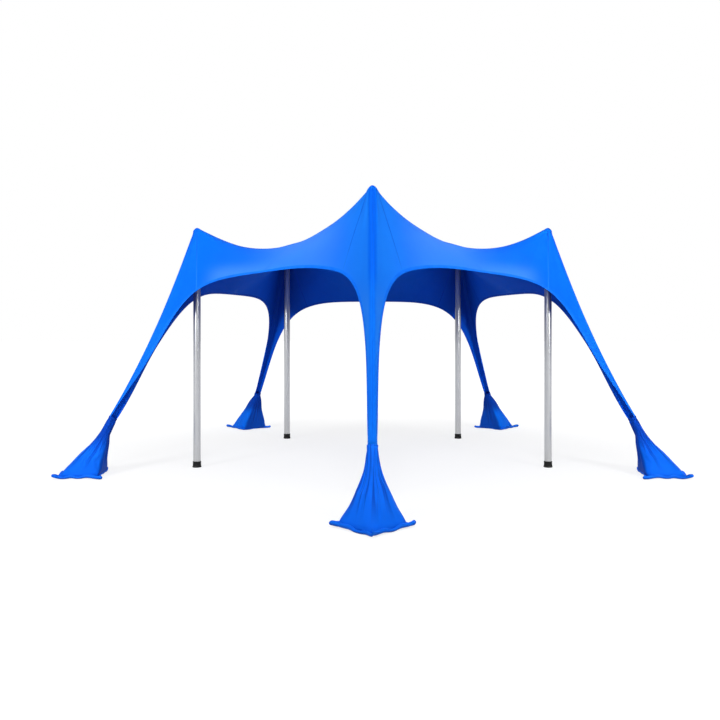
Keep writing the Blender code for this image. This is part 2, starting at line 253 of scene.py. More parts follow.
# %% Floor, room and lights
FLOOR_GLOW, FLOOR_WHITE = 0.76, 0.26
FLOOR_FADE = (1.8, 5.6)
FLOOR_RADIUS, ROOM_RADIUS = 90.0, 100.0


def glowing(name, glow, white):
    """A dull finish that gives off a little light of its own."""
    finish = Finish(name)
    finish.surface(Base_Color=(white, white, white), Roughness=0.9, Specular_IOR_Level=0.0,
                   Emission_Color=(glow, glow, glow), Emission_Strength=1.0)
    return finish


def deselect():
    if bpy.context.object and bpy.context.object.mode != "OBJECT":
        bpy.ops.object.mode_set(mode="OBJECT")
    bpy.ops.object.select_all(action="DESELECT")


# The floor glows more with distance, so that its edge melts into the room.
pale_floor = glowing("pale_floor", FLOOR_GLOW, FLOOR_WHITE)
away = pale_floor.node("ShaderNodeVectorMath", {"operation": "LENGTH"}, {0: pale_floor.place}, "Value")
pale_floor.surface(Emission_Color=away.step(*FLOOR_FADE) * (1.0 - FLOOR_GLOW) + FLOOR_GLOW)
deselect()
bpy.ops.mesh.primitive_circle_add(vertices=96, radius=FLOOR_RADIUS, fill_type="NGON",
                                  location=(0.0, 0.0, -0.0005))
floor = bpy.context.object
floor.name = "floor"
floor.data.materials.append(pale_floor.material)
deselect()
bpy.ops.mesh.primitive_uv_sphere_add(segments=48, ring_count=24, radius=ROOM_RADIUS)
room = bpy.context.object
room.name = "white_room"
room.data.materials.append(glowing("white_wall", 1.0, 0.0).material)
for stage in (floor, room):
    stage.visible_diffuse = stage.visible_transmission = False
room.visible_shadow = room.visible_glossy = False
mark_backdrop(floor, room)

world = bpy.data.worlds.new("studio")
world.use_nodes = True
sky = world.node_tree.nodes["Background"].inputs
sky["Color"].default_value = (0.96, 0.98, 1.0, 1.0)
sky["Strength"].default_value = 0.35
bpy.context.scene.world = world
bpy.context.scene.view_settings.view_transform = "Standard"


def softbox(name, place, aim, size, watts, spread=180.0):
    data = bpy.data.lights.new(name, "AREA")
    data.shape = "DISK"
    data.size = size
    data.energy = watts
    data.spread = radians(spread)
    lamp = bpy.data.objects.new(name, data)
    bpy.context.scene.collection.objects.link(lamp)
    lamp.location = place
    lamp.rotation_euler = (Vector(aim) - Vector(place)).to_track_quat("-Z", "Y").to_euler()


# Name, place, aim, size in metres, watts, and spread in degrees
softbox("left_box", (-6.0, -7.4, 3.9), (-2.0, 0.2, 0.9), 2.4, 46.0, 52.0)
softbox("right_box", (6.0, -7.4, 3.9), (2.0, 0.2, 0.9), 2.4, 46.0, 52.0)
softbox("front_box", (0.0, -7.5, 6.6), (0.0, -1.7, 1.1), 3.0, 28.0, 50.0)
softbox("top_box", (0.0, -2.4, 6.5), (0.0, 0.0, 1.5), 4.0, 112.0)

# %% [markdown]
# ## Stretch knit
# The canopy is a polyester and elastane swimwear knit: fine ribs, a soft sheen and almost no
# gloss. The ribs are 1.6 mm apart and follow the cloth's own UV map, in metres, so
# they bend with the cloth. Slow changes of tone and soft streaks that run out from each peak
# come from noise. The face towards the ground is painted darker, as painted shade.

# %% The canopy's cloth, above and below
RIB = 0.0016
BLUE_DEEP, BLUE, BLUE_PALE = (0.0010, 0.143, 0.86), (0.0020, 0.172, 0.93), (0.0060, 0.215, 0.97)
SHEEN = {"Sheen_Weight": 0.06, "Sheen_Roughness": 0.5, "Sheen_Tint": (0.10, 0.45, 1.0)}


def corner_fold(finish):
    """How far a point lies along the nearest leg and across it, and its height, as three values."""
    x, y, z = finish.split(finish.place)
    y = y - float(CENTRE[1])
    turn = finish.math("ARCTAN2", y, x) + radians(90.0)
    folded = finish.math("PINGPONG", turn, HALF_CELL)
    reach = finish.math("SQRT", x * x + y * y)
    return reach * finish.math("COSINE", folded), reach * folded.wave(), z


def knit(finish, weave):
    """Height of the knit: ribs one way and shorter loops the other way."""
    u, v, _ = finish.split(weave)
    ribs = (u * (tau / RIB)).wave()
    loops = (v * (tau / (0.7 * RIB))).wave()
    return ribs * 0.6 + ribs * loops * 0.4


def canopy_cloth(name, deep, usual, pale, streaks, ribs, gloss):
    """The knit's finish and its ground colour, over which each kind of piece gets its own layers."""
    finish = Finish(name)
    weave, pull = finish.uv("weave"), finish.uv("pull")
    patches = finish.noise(finish.place, 1.7, 2.0)
    mottle = finish.noise(finish.place, 14.0, 4.0, 0.6)
    lines = finish.noise(finish.stretched(pull, (34.0, 1.3, 1.0)), 1.0, 3.0, 0.55)
    _, down, _ = finish.split(pull)
    near = 1.0 - down.step(0.15, 1.35)
    tone = patches * 0.55 + mottle * 0.25 + lines * near * streaks + (1.0 - near) * (0.5 * streaks)
    stops = [(0.30, deep), (0.55, usual), (0.80, pale)]
    ground = finish.node("ShaderNodeValToRGB", {"stops": stops}, {0: tone})
    grain = finish.noise(finish.stretched(weave, (1.0, 0.4, 1.0)), 420.0, 2.0)
    uneven = finish.bump(finish.noise(finish.place, 38.0, 3.0, 0.6), 0.0012, 0.35)
    normal = finish.bump(knit(finish, weave) + grain * 0.5, 0.00012, ribs, uneven)
    finish.surface(Roughness=0.50 + mottle * 0.14, Normal=normal, Specular_IOR_Level=gloss, **SHEEN)
    return finish, ground


print("knit with ribs of", 1000 * RIB, "mm")

# %% [markdown]
# Each face of the cloth gets its layers of tone, most of them painted highlight and painted shade.
# Every layer is a mask times a colour, and a mask is a product of soft steps: along the nearest
# leg, across it, up, and away from the shelter's middle plane, all in metres.

# %% Layers of tone
upper, ground = canopy_cloth("knit_upper", BLUE_DEEP, BLUE, BLUE_PALE, 0.30, 0.30, 0.03)
along, across, height = corner_fold(upper)
aside = upper.split(upper.place)[0].size()
# Painted shade of the tube close under the cloth, and deeper along the leg's middle line
tube_shade = (1.0 - across.step(0.018, 0.034)) * along.step(RING - 0.03, RING + 0.01) * height.step(1.42, 1.66)
middle = (1.0 - across.step(0.0015, 0.006)) * along.step(RING + 0.01, RING + 0.05) * height.step(0.45, 0.6)
# Painted light on both flanks of the front leg, and a painted sheen on both shoulders of its peak
flank_light = across.step(0.012, 0.034) * (1.0 - height.step(1.34, 1.62)) * (1.0 - aside.step(0.12, 0.40))
shoulder_sheen = across.step(0.024, 0.042) * (1.0 - across.step(0.09, 0.28)) * along.step(RING - 0.4, RING - 0.1)
shoulder_sheen = shoulder_sheen * (1.0 - aside.step(0.25, 0.45)) * height.step(1.40, 1.65)
# A painted sheen where the roof slopes down to its hem, and painted shade high up on the far sides
beside, low = aside.step(0.62, 1.12), 1.0 - height.step(1.66, 1.80)
rim = along.step(0.78, 1.04)
far = rim * beside * (1.0 - aside.step(1.25, 1.50))
near = (1.0 - beside) * (0.62 + height.step(1.70, 1.95) * 0.38)
skirt_sheen = rim * across.step(0.05, 0.50) * (near + far * (0.12 + low * 0.7))
upper.paint(ground,
            (skirt_sheen * 0.64, (0.090, 0.310, 0.99)),
            (far * (1.0 - low) * 0.5, (0.0006, 0.128, 0.84)),
            (shoulder_sheen * 0.40, (0.020, 0.262, 0.98)),
            (flank_light * 0.45, (0.040, 0.290, 0.98)),
            (tube_shade * 0.80, (0.0003, 0.126, 0.88)),
            (middle * 0.5, (0.0008, 0.110, 0.70)))
upper.let_light_through(0.16, (0.002, 0.19, 0.90))

lower, ground = canopy_cloth("knit_lower", (0.0004, 0.100, 0.72), (0.0006, 0.124, 0.84),
                             (0.0012, 0.145, 0.92), 0.30, 0.12, 0.04)
along, across, height = corner_fold(lower)
# Painted shade on the lower face near each pole, along the leg
tucked_shade = (1.0 - across.step(0.02, 0.34)) * along.step(RING - 0.45, RING - 0.08) * height.step(0.9, 1.5)
lower.paint(ground, (tucked_shade * 0.75, (0.0003, 0.040, 0.36)))
lower.let_light_through(0.18, (0.002, 0.16, 0.85))
print("cloth finishes:", upper.material.name, lower.material.name)

# %% [markdown]
# ## The canopy's edge
# Between two poles the cloth ends in a wide arch, and outside each pole it narrows to a neck
# that a bag holds down. The hem between arch and neck is one smooth curve with five control
# points. The figures are multiples of the ring, as a sail maker would scale a pattern. The two
# front arches climb towards the taller front peak. Just above the bags the side legs turn
# about their own middle, so their hollow faces the front, and each leg's end closes to an oval.

# %% Hem curve
PEAK, FRONT_PEAK = 1.2955 * RING, 1.395 * RING
NECK_REACH, NECK_WIDTH = 1.421 * RING, 0.022 * RING
NECK_HEIGHT, NECK_DEPTH = 0.27 * RING, 0.029 * RING
NECK_RAYS, HEM_RAYS, VALLEY_RAYS, RINGS = 2, 9, 4, 8
ARCH_RAY = NECK_RAYS + HEM_RAYS
HALF = ARCH_RAY + VALLEY_RAYS
RAYS = 2 * HALF
LEG_SEAM = (8.0, 8.35)
LEG_DOWN = np.array((0.507, 0.0, -0.862))
LEG_OUT = np.array((0.862, 0.0, 0.507))
ARCH_REACH = 0.908 * RING
FRONT_LIFTS = (0.127 * RING, 0.164 * RING, 0.061 * RING)
HEM_CLIMB, HEM_SAG, REAR_SAG = 0.044, 0.050, 0.030
LEG_TWIST = [radians(angle) for angle in (0.0, -62.0, -20.0, 20.0, 62.0)]
NECK_CLOSED = radians(122.0)
LEG_TURN = [radians(angle) for angle in (0.0, -9.0, -5.0, 5.0, 9.0)]


def smoothstep(low, high, value):
    share = np.clip((value - low) / (high - low), 0.0, 1.0)
    return share * share * (3.0 - 2.0 * share)


def hem_knots(corner, side):
    front = corner == 0
    beside = (corner, side) in ((1, -1), (4, 1))
    lower, upper = (FRONT_LIFTS[0], FRONT_LIFTS[1]) if front else (0.0, -HEM_SAG if beside else 0.0)
    arch = 0.962 * RING + (FRONT_LIFTS[2] if front or beside else 0.0)
    arch -= REAR_SAG if (corner, side) in ((2, 1), (3, -1)) else 0.0
    slope = HEM_CLIMB if front else (-HEM_CLIMB if beside else 0.0)
    turn = 0.593 * RING
    middle = (ARCH_REACH * cos(HALF_CELL), ARCH_REACH * sin(HALF_CELL), arch)
    return np.array([(NECK_REACH, NECK_WIDTH, NECK_HEIGHT),
                     (1.346 * RING, 0.021 * RING, 0.410 * RING + lower),
                     (1.048 * RING, 0.025 * RING, 0.966 * RING + upper),
                     (middle[0] + turn * sin(HALF_CELL), middle[1] - turn * cos(HALF_CELL), arch + slope),
                     middle])


def leg_turn(corner, share):
    """The turn of the leg's section: most of it just above the bag, and a little up to the arch."""
    near_bag, near_arch = 1.0 - smoothstep(0.0, 0.34, share), 1.0 - smoothstep(0.45, 0.95, share)
    return LEG_TWIST[corner] * near_bag + LEG_TURN[corner] * near_arch


def in_leg(corner, along, up, over, aside, share):
    """A point of the leg's section, given over and beside its inner line, turned about its middle."""
    twist = leg_turn(corner, share)
    over = over - NECK_DEPTH / 2
    out = over * cos(twist) + aside * sin(twist) + NECK_DEPTH / 2
    across = aside * cos(twist) - over * sin(twist)
    return leg_point(corner, along + LEG_OUT[0] * out, across, up + LEG_OUT[2] * out)


def edge_point(corner, side, ray):
    turn = NECK_CLOSED * min(ray, NECK_RAYS) / NECK_RAYS
    over = NECK_DEPTH / 2 * (1.0 + cos(turn))
    if ray < NECK_RAYS:
        return in_leg(corner, NECK_REACH, NECK_HEIGHT, over, side * NECK_WIDTH * sin(turn), 0.0)
    share = (ray - NECK_RAYS) / HEM_RAYS
    weights = [comb(4, i) * share**i * (1.0 - share)**(4 - i) for i in range(5)]
    along, across, up = weights @ hem_knots(corner, side)
    closed = 1.0 - smoothstep(0.0, 0.16, share)
    across *= 1.0 - closed * (1.0 - sin(turn))
    return in_leg(corner, along, up, over * closed, side * across, share)


hem = np.array([edge_point(0, 1, ray) for ray in range(NECK_RAYS, ARCH_RAY + 1)])
print("half of one arch's hem:", np.linalg.norm(np.diff(hem, axis=0), axis=1).sum().round(3), "m")

# %% [markdown]
# ## Stretched cloth as a net
# Stretched fabric finds the shape where every thread's pull is in balance. A net of strings
# with a fixed pull for its length does the same, and its balance is one linear system, so the
# shape is exact and the same on each run. Rays run from each pole's head to the hem, to the
# valley between two cells and to the middle, and hoops tie them together.

# %% The net of strings
POCKET = 0.0215 * RING
EVEN_RIM = 0.6
HOOP_PULL, HOOP_FADE, RAY_PULL_RISE, RIM_PULL = 0.0937, -0.12, 0.3625, 0.02625
VALLEY_SLACK = LEG_SLACK = -0.70
SWELL, SIDE_SAG, SWELL_RING = 0.0015 * RING, 0.0021 * RING, 2.4375
POCKET_SHARES = (0.92, 0.62, 0.31)
RIM_DROP, RIM_LEAN = (0.78, 1.0), (0.10, 0.55)


def peak_height(corner):
    return PEAK if corner else FRONT_PEAK


def rim_point(corner, side, ray, end):
    """Where a ray that ends at end leaves the pocket's rim."""
    away = end - leg_point(corner, RING, 0.0, 0.0)
    turn = corner_angle(corner)
    straight = acos(max(-1.0, min(1.0, away[:2] @ (cos(turn), sin(turn)) / np.hypot(*away[:2]))))
    angle = straight * (1.0 - EVEN_RIM) + pi * ray / HALF * EVEN_RIM
    drop = POCKET * RIM_DROP[corner > 0] * (1.0 + RIM_LEAN[corner > 0] * cos(angle))
    height = peak_height(corner) - drop
    return leg_point(corner, RING + POCKET * cos(angle), side * POCKET * sin(angle), height)


class Net:
    """The knots' places, which of them are held, and each corner's cell as a table of knots."""

    def __init__(self):
        self.points, self.held, self.index = [], [], {}
        self.cells = [self.cell(corner) for corner in range(5)]
        self.points = np.array(self.points)

    def knot(self, key, point, held):
        if key not in self.index:
            self.index[key] = len(self.points)
            self.points.append(point)
            self.held.append(held)
        return self.index[key]

    def outer_end(self, corner, side, ray):
        edge = (corner if side == 1 else corner - 1) % 5
        if ray <= ARCH_RAY:
            key = ("arch", edge) if ray == ARCH_RAY else ("edge", corner, side, ray)
            return self.knot(key, edge_point(corner, side, ray), True)
        share = 1.0 - (ray - ARCH_RAY) / VALLEY_RAYS
        reach = share * ARCH_REACH
        start = leg_point(corner, reach * cos(HALF_CELL), side * reach * sin(HALF_CELL), 1.1 * RING)
        return self.knot(("centre",) if ray == HALF else ("valley", edge, ray), start, False)

    def cell(self, corner):
        grid = np.zeros((RAYS, RINGS + 1), int)
        for side in (1, -1):
            for ray in range(HALF + 1):
                if side == -1 and ray in (0, HALF):
                    continue
                column = ray if side == 1 else RAYS - ray
                last = self.outer_end(corner, side, ray)
                inner = rim_point(corner, side, ray, self.points[last])
                grid[column, 0] = self.knot(("rim", corner, column), inner, True)
                for ring in range(1, RINGS):
                    between = inner + (self.points[last] - inner) * ring / RINGS
                    grid[column, ring] = self.knot(("net", corner, column, ring), between, False)
                grid[column, RINGS] = last
        return grid


net = Net()
print(len(net.points), "knots,", sum(net.held), "of them held")

# %% Every string pulls by its own share, and the free knots rest where the pulls balance
def balance(net):
    count = len(net.points)
    pulls, loads = np.zeros((count, count)), np.zeros((count, 3))

    def string(a, b, pull):
        pulls[a, a] += pull
        pulls[b, b] += pull
        pulls[a, b] -= pull
        pulls[b, a] -= pull

    for corner, grid in enumerate(net.cells):
        for column in range(RAYS):
            ray = min(column, RAYS - column)
            slack = 1.0 + VALLEY_SLACK * max(0, ray - ARCH_RAY) / VALLEY_RAYS
            slack *= 1.0 + (LEG_SLACK if ray <= NECK_RAYS else 0.0)
            following = (column + 1) % RAYS
            for ring in range(RINGS):
                rise = ((ring + 0.5) / RINGS)**RAY_PULL_RISE
                string(grid[column, ring], grid[column, ring + 1], slack * rise)
            for ring in range(1, RINGS + 1):
                hoop = HOOP_PULL * (ring / RINGS)**HOOP_FADE * (RIM_PULL if ring == RINGS else 1.0)
                if grid[column, ring] != grid[following, ring]:
                    string(grid[column, ring], grid[following, ring], hoop)
        swell = SWELL if corner == 0 else -SIDE_SAG
        for ring in range(1, RINGS):
            loads[grid[:, ring], 2] += swell * np.exp(-((ring - SWELL_RING) / 2.0)**2)
    held = np.array(net.held)
    free = ~held
    known = pulls[np.ix_(free, held)] @ net.points[held]
    net.points[free] = np.linalg.solve(pulls[np.ix_(free, free)], loads[free] - known)


def add_pockets(net):
    """A round pocket closes the net over the head of each pole."""
    net.pockets, extra, count = [], [], len(net.points)
    for corner in range(5):
        peak = leg_point(corner, RING, 0.0, peak_height(corner))
        rings = [net.cells[corner][:, 0]]
        for share in POCKET_SHARES:
            for rim in net.points[net.cells[corner][:, 0]]:
                point = peak + (rim - peak) * share
                point[2] = peak[2] - min(peak[2] - rim[2], POCKET) * share**2
                extra.append(point)
            rings.append(np.arange(count + len(extra) - RAYS, count + len(extra)))
        extra.append(peak)
        net.pockets.append((rings, count + len(extra) - 1))
    net.points = np.vstack([net.points, extra])


GRADES = (0.10, 0.26, 0.53)
FRONT_EASE, EASE_REACH, EASE_SPREAD = 0.0255, 0.29, 0.25


def grade(net):
    """More rings between the pocket's rim and the first ring, on curves that leave the rim steeply."""
    peak = leg_point(0, RING, 0.0, 0.0)
    inner = np.unique(net.cells[0][:, 1:])
    reach = np.hypot(*(net.points[inner] - peak)[:, :2].T)
    net.points[inner, 2] -= FRONT_EASE * np.exp(-((reach - EASE_REACH) / EASE_SPREAD)**2)
    for corner, grid in enumerate(net.cells):
        start, first, second = (net.points[grid[:, ring]] for ring in range(3))
        length = np.linalg.norm(first - start, axis=1)[:, None]
        chord = (first - start) / length
        after = (second - first) / np.linalg.norm(second - first, axis=1)[:, None]
        end = (chord + after) / 2
        begin = 1.5 * chord - 0.5 * end
        rings = [grid[:, 0]]
        for share in GRADES:
            near, far = (1 - share)**2, share**2
            points = near * (1 + 2 * share) * start + near * share * length * begin
            points += far * (3 - 2 * share) * first - far * (1 - share) * length * end
            rings.append(np.arange(len(net.points), len(net.points) + RAYS))
            net.points = np.vstack([net.points, points])
        net.cells[corner] = np.stack(rings + [grid[:, ring] for ring in range(1, RINGS + 1)], 1)


balance(net)
grade(net)
add_pockets(net)
print("lowest point over the middle:", net.points[net.index[("centre",)]].round(3))

# %% [markdown]
# ## From the net to one sheet
# The net's cells become the faces of one mesh, so the whole canopy is a single sheet. Each
# face also gets two UV maps: one in metres, which the knit follows, and one that counts round
# and out from the peak, which the streaks follow.

# %% Faces and their two maps
def run_lengths(points, axis):
    steps = np.linalg.norm(np.diff(points, axis=axis), axis=2)
    start = np.zeros_like(np.take(steps, [0], axis=axis))
    return np.concatenate([start, np.cumsum(steps, axis=axis)], axis=axis)


faces, weave_map, pull_map = [], [], []
for corner, grid in enumerate(net.cells):
    place = net.points[grid]
    down = run_lengths(place, 1)
    wrapped = np.concatenate([place, place[:1]])
    right = run_lengths(wrapped[:HALF + 1], 0)
    left = -run_lengths(wrapped[HALF:][::-1], 0)[::-1]
    for column in range(RAYS):
        part, first = (right, 0) if column < HALF else (left, HALF)
        for ring in range(grid.shape[1] - 1):
            spots = ((column, ring), (column, ring + 1), (column + 1, ring + 1), (column + 1, ring))
            faces.append([grid[c % RAYS, r] for c, r in spots])
            weave_map += [(part[c - first, r], down[c % RAYS, r]) for c, r in spots]
            pull_map += [(c / RAYS + corner, down[c % RAYS, r]) for c, r in spots]
    rings, tip = net.pockets[corner]
    for column in range(RAYS):
        following = (column + 1) % RAYS
        for step, (outer, inner) in enumerate(zip(rings + [[tip] * RAYS], rings[1:] + [[tip] * RAYS])):
            low, high = -0.010 * step, -0.010 * (step + 1)
            spots = [(inner[column], 0, high), (outer[column], 0, low), (outer[following], 1, low)]
            if step < len(POCKET_SHARES):
                spots.append((inner[following], 1, high))
            if step <= len(POCKET_SHARES):
                faces.append([point for point, _, _ in spots])
                weave_map += [((column + more) * 0.007, v) for _, more, v in spots]
                pull_map += [((column + more) / RAYS + corner, v) for _, more, v in spots]


def cloth_mesh(name, points, faces, maps, materials):
    mesh = bpy.data.meshes.new(name)
    mesh.from_pydata([tuple(point) for point in points], [], [[int(i) for i in face] for face in faces])
    for title, values in maps.items():
        layer = mesh.uv_layers.new(name=title)
        layer.data.foreach_set("uv", np.array(values, np.float32).ravel())
    for look in materials:
        mesh.materials.append(look)
    mesh.shade_smooth()
    made = bpy.data.objects.new(name, mesh)
    bpy.context.scene.collection.objects.link(made)
    return made


canopy = cloth_mesh("canopy", net.points, faces, {"weave": weave_map, "pull": pull_map},
                    [upper.material, lower.material])
print("canopy net:", len(canopy.data.vertices), "points,", len(canopy.data.polygons), "faces")

# %% [markdown]
# ## Smooth, but still through every knot
# Subdivision rounds a mesh off and so shrinks it. Here the control points are moved out until
# the smooth surface passes through every knot of the net again. A few rounds of correcting by
# the distance that is still missing are enough.

# %% Subdivide through the knots
def activate(piece):
    deselect()
    piece.select_set(True)
    bpy.context.view_layer.objects.active = piece


def apply_modifier(piece, kind, **settings):
    modifier = piece.modifiers.new(kind.title(), kind)
    for name, value in settings.items():
        setattr(modifier, name, value)
    activate(piece)
    bpy.ops.object.modifier_apply(modifier=modifier.name)


def coordinates(mesh):
    flat = np.zeros(len(mesh.vertices) * 3, np.float32)
    mesh.vertices.foreach_get("co", flat)
    return flat.reshape(-1, 3).astype(float)


def move_points(mesh, points):
    mesh.vertices.foreach_set("co", np.asarray(points, np.float32).ravel())
    mesh.update()


def smooth_through(piece, levels, rounds=8):
    target = coordinates(piece.data)
    smooth = piece.modifiers.new("Smooth", "SUBSURF")
    smooth.levels = smooth.render_levels = levels
    control = target.copy()
    for _ in range(rounds):
        move_points(piece.data, control)
        seen = piece.evaluated_get(bpy.context.evaluated_depsgraph_get()).data
        missing = target - coordinates(seen)[:len(target)]
        control += missing
    activate(piece)
    bpy.ops.object.modifier_apply(modifier=smooth.name)
    return np.linalg.norm(missing, axis=1).max()


off = smooth_through(canopy, 2)
print("canopy:", len(canopy.data.polygons), "faces, off its knots by", round(off * 1000, 2), "mm at most")

# %% [markdown]
# ## Small gathers below each peak
# Where the cloth is drawn up over a pole it is never quite even: faint gathers run out from
# the head and fade within half a metre. They are a millimetre or so high, which the eye sees
# only as soft streaks of light.

# %% Gathers
GATHER, GATHER_AT, GATHER_SPREAD = 0.0013, 0.16, 0.20


def gathers(piece):
    mesh = piece.data
    pull = np.zeros(len(mesh.loops) * 2, np.float32)
    mesh.uv_layers["pull"].data.foreach_get("uv", pull)
    loops = np.zeros(len(mesh.loops), int)
    mesh.loops.foreach_get("vertex_index", loops)
    where = np.zeros((len(mesh.vertices), 2))
    where[loops] = pull.reshape(-1, 2)
    normals = np.array([v.normal for v in mesh.vertices])
    random = np.random.default_rng(5)
    turn, down = where[:, 0] * tau, where[:, 1]
    height = np.zeros(len(where))
    for waves in (7, 10, 13, 17):
        size = random.uniform(0.4, 1.0)
        start = random.uniform(0, tau, 6)[where[:, 0].astype(int)]
        height += size * np.cos(waves * turn + start)
    fade = np.exp(-((down - GATHER_AT) / GATHER_SPREAD)**2) * (down > 0.0)
    move_points(mesh, coordinates(mesh) + normals * (GATHER * height * fade)[:, None])


gathers(canopy)
skin = BVHTree.FromObject(canopy, bpy.context.evaluated_depsgraph_get())

# %% [markdown]
# ## Tapes that follow the cloth
# A hem is the cloth's edge folded over and sewn down, and a seam is two panels' edges folded
# into each other. Both are narrow tapes, a little thicker than the cloth, that lie along a
# line on it. One helper makes them: it finds the surface beside each point of the line and
# builds a closed strip round it.

# %% A closed strip along a line on the cloth
def on_cloth(point):
    place, normal, _, _ = skin.find_nearest(Vector(point))
    return np.array(place), np.array(normal)


def resampled(line, step, closed=False):
    line = np.vstack([line, line[:1]]) if closed else np.asarray(line)
    length = np.concatenate([[0.0], np.cumsum(np.linalg.norm(np.diff(line, axis=0), axis=1))])
    count = max(2, int(round(length[-1] / step)))
    spots = np.linspace(0.0, length[-1], count + 1)
    even = np.stack([np.interp(spots, length, line[:, axis]) for axis in range(3)], 1)
    return even[:-1] if closed else even


def tape(line, offsets, heights, closed=False, nose=0.0):
    """Points, faces and map of a strip. offsets run across the line, heights stand on both sides."""
    count = len(line)
    before, after = np.roll(line, 1, axis=0), np.roll(line, -1, axis=0)
    if not closed:
        before[0], after[-1] = line[0], line[-1]
    points, flat = [], []
    run = 0.0
    for i in range(count):
        run += np.linalg.norm(line[i] - line[i - 1]) if i else 0.0
        tangent = after[i] - before[i]
        tangent /= np.linalg.norm(tangent)
        _, normal = on_cloth(line[i])
        aside = np.cross(normal, tangent)
        aside /= np.linalg.norm(aside)
        above, below = [], []
        for offset, height in zip(offsets, heights):
            place, up = on_cloth(line[i] + aside * offset)
            above.append(place + up * height)
            below.append(place - up * height)
        section = above + ([line[i] + aside * nose] if nose else []) + below[::-1]
        points += section
        widths = list(offsets) + ([nose] if nose else []) + list(offsets)[::-1]
        flat += [(width, run) for width in widths]
    size = len(section)
    faces, lower = [], []
    for i in range(count if closed else count - 1):
        j = (i + 1) % count
        for k in range(size):
            m = (k + 1) % size
            faces.append((i * size + k, j * size + k, j * size + m, i * size + m))
            lower.append(int(len(offsets) <= k < size - 1))
    if not closed:
        faces.append(tuple(range(size)))
        faces.append(tuple(reversed(range((count - 1) * size, count * size))))
        lower += [0, 0]
    return np.array(points), faces, flat, lower


def tapes(name, strips, look, lower_look):
    points, faces, flat, lower = [], [], [], []
    for some, rings, spots, below in strips:
        start = len(points)
        points += list(some)
        lower += below
        for ring in rings:
            faces.append([i + start for i in ring])
            flat += [spots[i] for i in ring]
    piece = cloth_mesh(name, points, faces, {"weave": flat}, [look, lower_look])
    piece.data.polygons.foreach_set("material_index", lower)
    activate(piece)
    bpy.ops.object.mode_set(mode="EDIT")
    bpy.ops.mesh.select_all(action="SELECT")
    bpy.ops.mesh.normals_make_consistent(inside=False)
    bpy.ops.object.mode_set(mode="OBJECT")
    bpy.ops.object.shade_smooth_by_angle(angle=radians(50.0))
    return piece


print("tape helper ready")

# %% [markdown]
# ## Sewn finishes
# On a tape the cloth lies double, so it is a shade deeper, and rows of stitches run along it.
# The stitches follow the tape's own map, whose first number is the place across and whose
# second is the length in metres.

# %% Cloth with rows of stitches
STITCH = 0.0042
SEAM_ROWS, HEM_ROWS = (-0.0035, 0.0035), (0.004, 0.019)
THREAD = (0.02, 0.20, 0.80)


def sewn_cloth(name, usual, pale, thread, rows, fade):
    """Cloth with two rows of stitches. fade is how much painted sheen it takes lower down."""
    finish = Finish(name)
    weave = finish.uv("weave")
    u, v, _ = finish.split(weave)
    lines = [1.0 - (u - row).size().step(0.0003, 0.0008) for row in rows]
    stitches = finish.math("MAXIMUM", *lines) * (v * (tau / STITCH)).wave().step(-0.45, 0.0)
    mottle = finish.noise(finish.place, 16.0, 4.0, 0.6)
    _, _, height = finish.split(finish.place)
    # Painted sheen lower down, as on the roof's lower slopes
    painted_sheen = (1.0 - height.step(1.55, 1.95)) * fade
    finish.paint(finish.blend(mottle.step(0.3, 0.75), usual, pale),
                 (painted_sheen, (0.015, 0.215, 0.92)), (stitches * 0.6, thread))
    pucker = (v * (pi / STITCH)).wave() * 0.15
    normal = finish.bump(knit(finish, weave) * 0.2 + stitches + pucker, 0.0004, 0.35)
    return finish.surface(Roughness=0.55 + mottle * 0.15, Normal=normal, Specular_IOR_Level=0.04, **SHEEN)


seam_cloth = sewn_cloth("sewn_seam", (0.0010, 0.118, 0.74), (0.0025, 0.145, 0.84), THREAD, SEAM_ROWS, 0.75)
hem_cloth = sewn_cloth("sewn_hem", (0.0020, 0.148, 0.87), (0.005, 0.175, 0.94), THREAD, HEM_ROWS, 0.0)
# The tapes' faces towards the ground get this darker sewn cloth: painted shade
shaded_tape_underside = sewn_cloth("sewn_lower", (0.0004, 0.074, 0.62), (0.0008, 0.092, 0.72), (0.001, 0.100, 0.70),
                       HEM_ROWS, 0.0)
print("sewn finishes:", seam_cloth.name, hem_cloth.name, shaded_tape_underside.name)

# %% [markdown]
# ## Hem
# The hem runs round the whole edge of the sheet, from the bag at one corner over the arch to
# the next bag. The edge of the fine mesh is walked from point to point, cut at the five necks,
# and a tape 24 mm wide is laid along each piece of it, with a small round nose over the edge.

# %% The hem tapes
def edge_loop(piece):
    shape = bmesh.new()
    shape.from_mesh(piece.data)
    near = {}
    for edge in shape.edges:
        if edge.is_boundary:
            a, b = (v.index for v in edge.verts)
            near.setdefault(a, []).append(b)
            near.setdefault(b, []).append(a)
    start = next(iter(near))
    loop, last = [start], None
    while True:
        step = [i for i in near[loop[-1]] if i != last]
        last = loop[-1]
        if step[0] == start:
            break
        loop.append(step[0])
    shape.verts.ensure_lookup_table()
    points = np.array([shape.verts[i].co for i in loop])
    shape.free()
    return points


edge = edge_loop(canopy)
turns = np.unwrap(np.arctan2(edge[:, 1] - CENTRE[1], edge[:, 0]))
if turns[-1] < turns[0]:
    edge = edge[::-1]
HEM_START = NECK_HEIGHT + 0.012
HEM_STEP, HEM_NOSE = 0.014, -0.0016
HEM_ACROSS = (0.024, 0.016, 0.008, 0.0)
HEM_THICK = (0.0009, 0.0013, 0.0014, 0.0012)
low = edge[:, 2] < HEM_START
first = next(i for i in range(len(edge)) if low[i - 1] and not low[i])
edge, low = np.roll(edge, -first, axis=0), np.roll(low, -first)
runs, run = [], []
for point, below in zip(edge, low):
    if not below:
        run.append(point)
    elif run:
        runs.append(np.array(run))
        run = []
runs = [run for run in runs if len(run) > 20]
hem_strips = [tape(resampled(run, HEM_STEP), HEM_ACROSS, HEM_THICK, nose=HEM_NOSE) for run in runs]
hem_tape = tapes("hem_tape", hem_strips, hem_cloth, shaded_tape_underside)
print(len(runs), "hems of", [round(float(run_lengths(run[None], 1)[0, -1]), 2) for run in runs], "m")

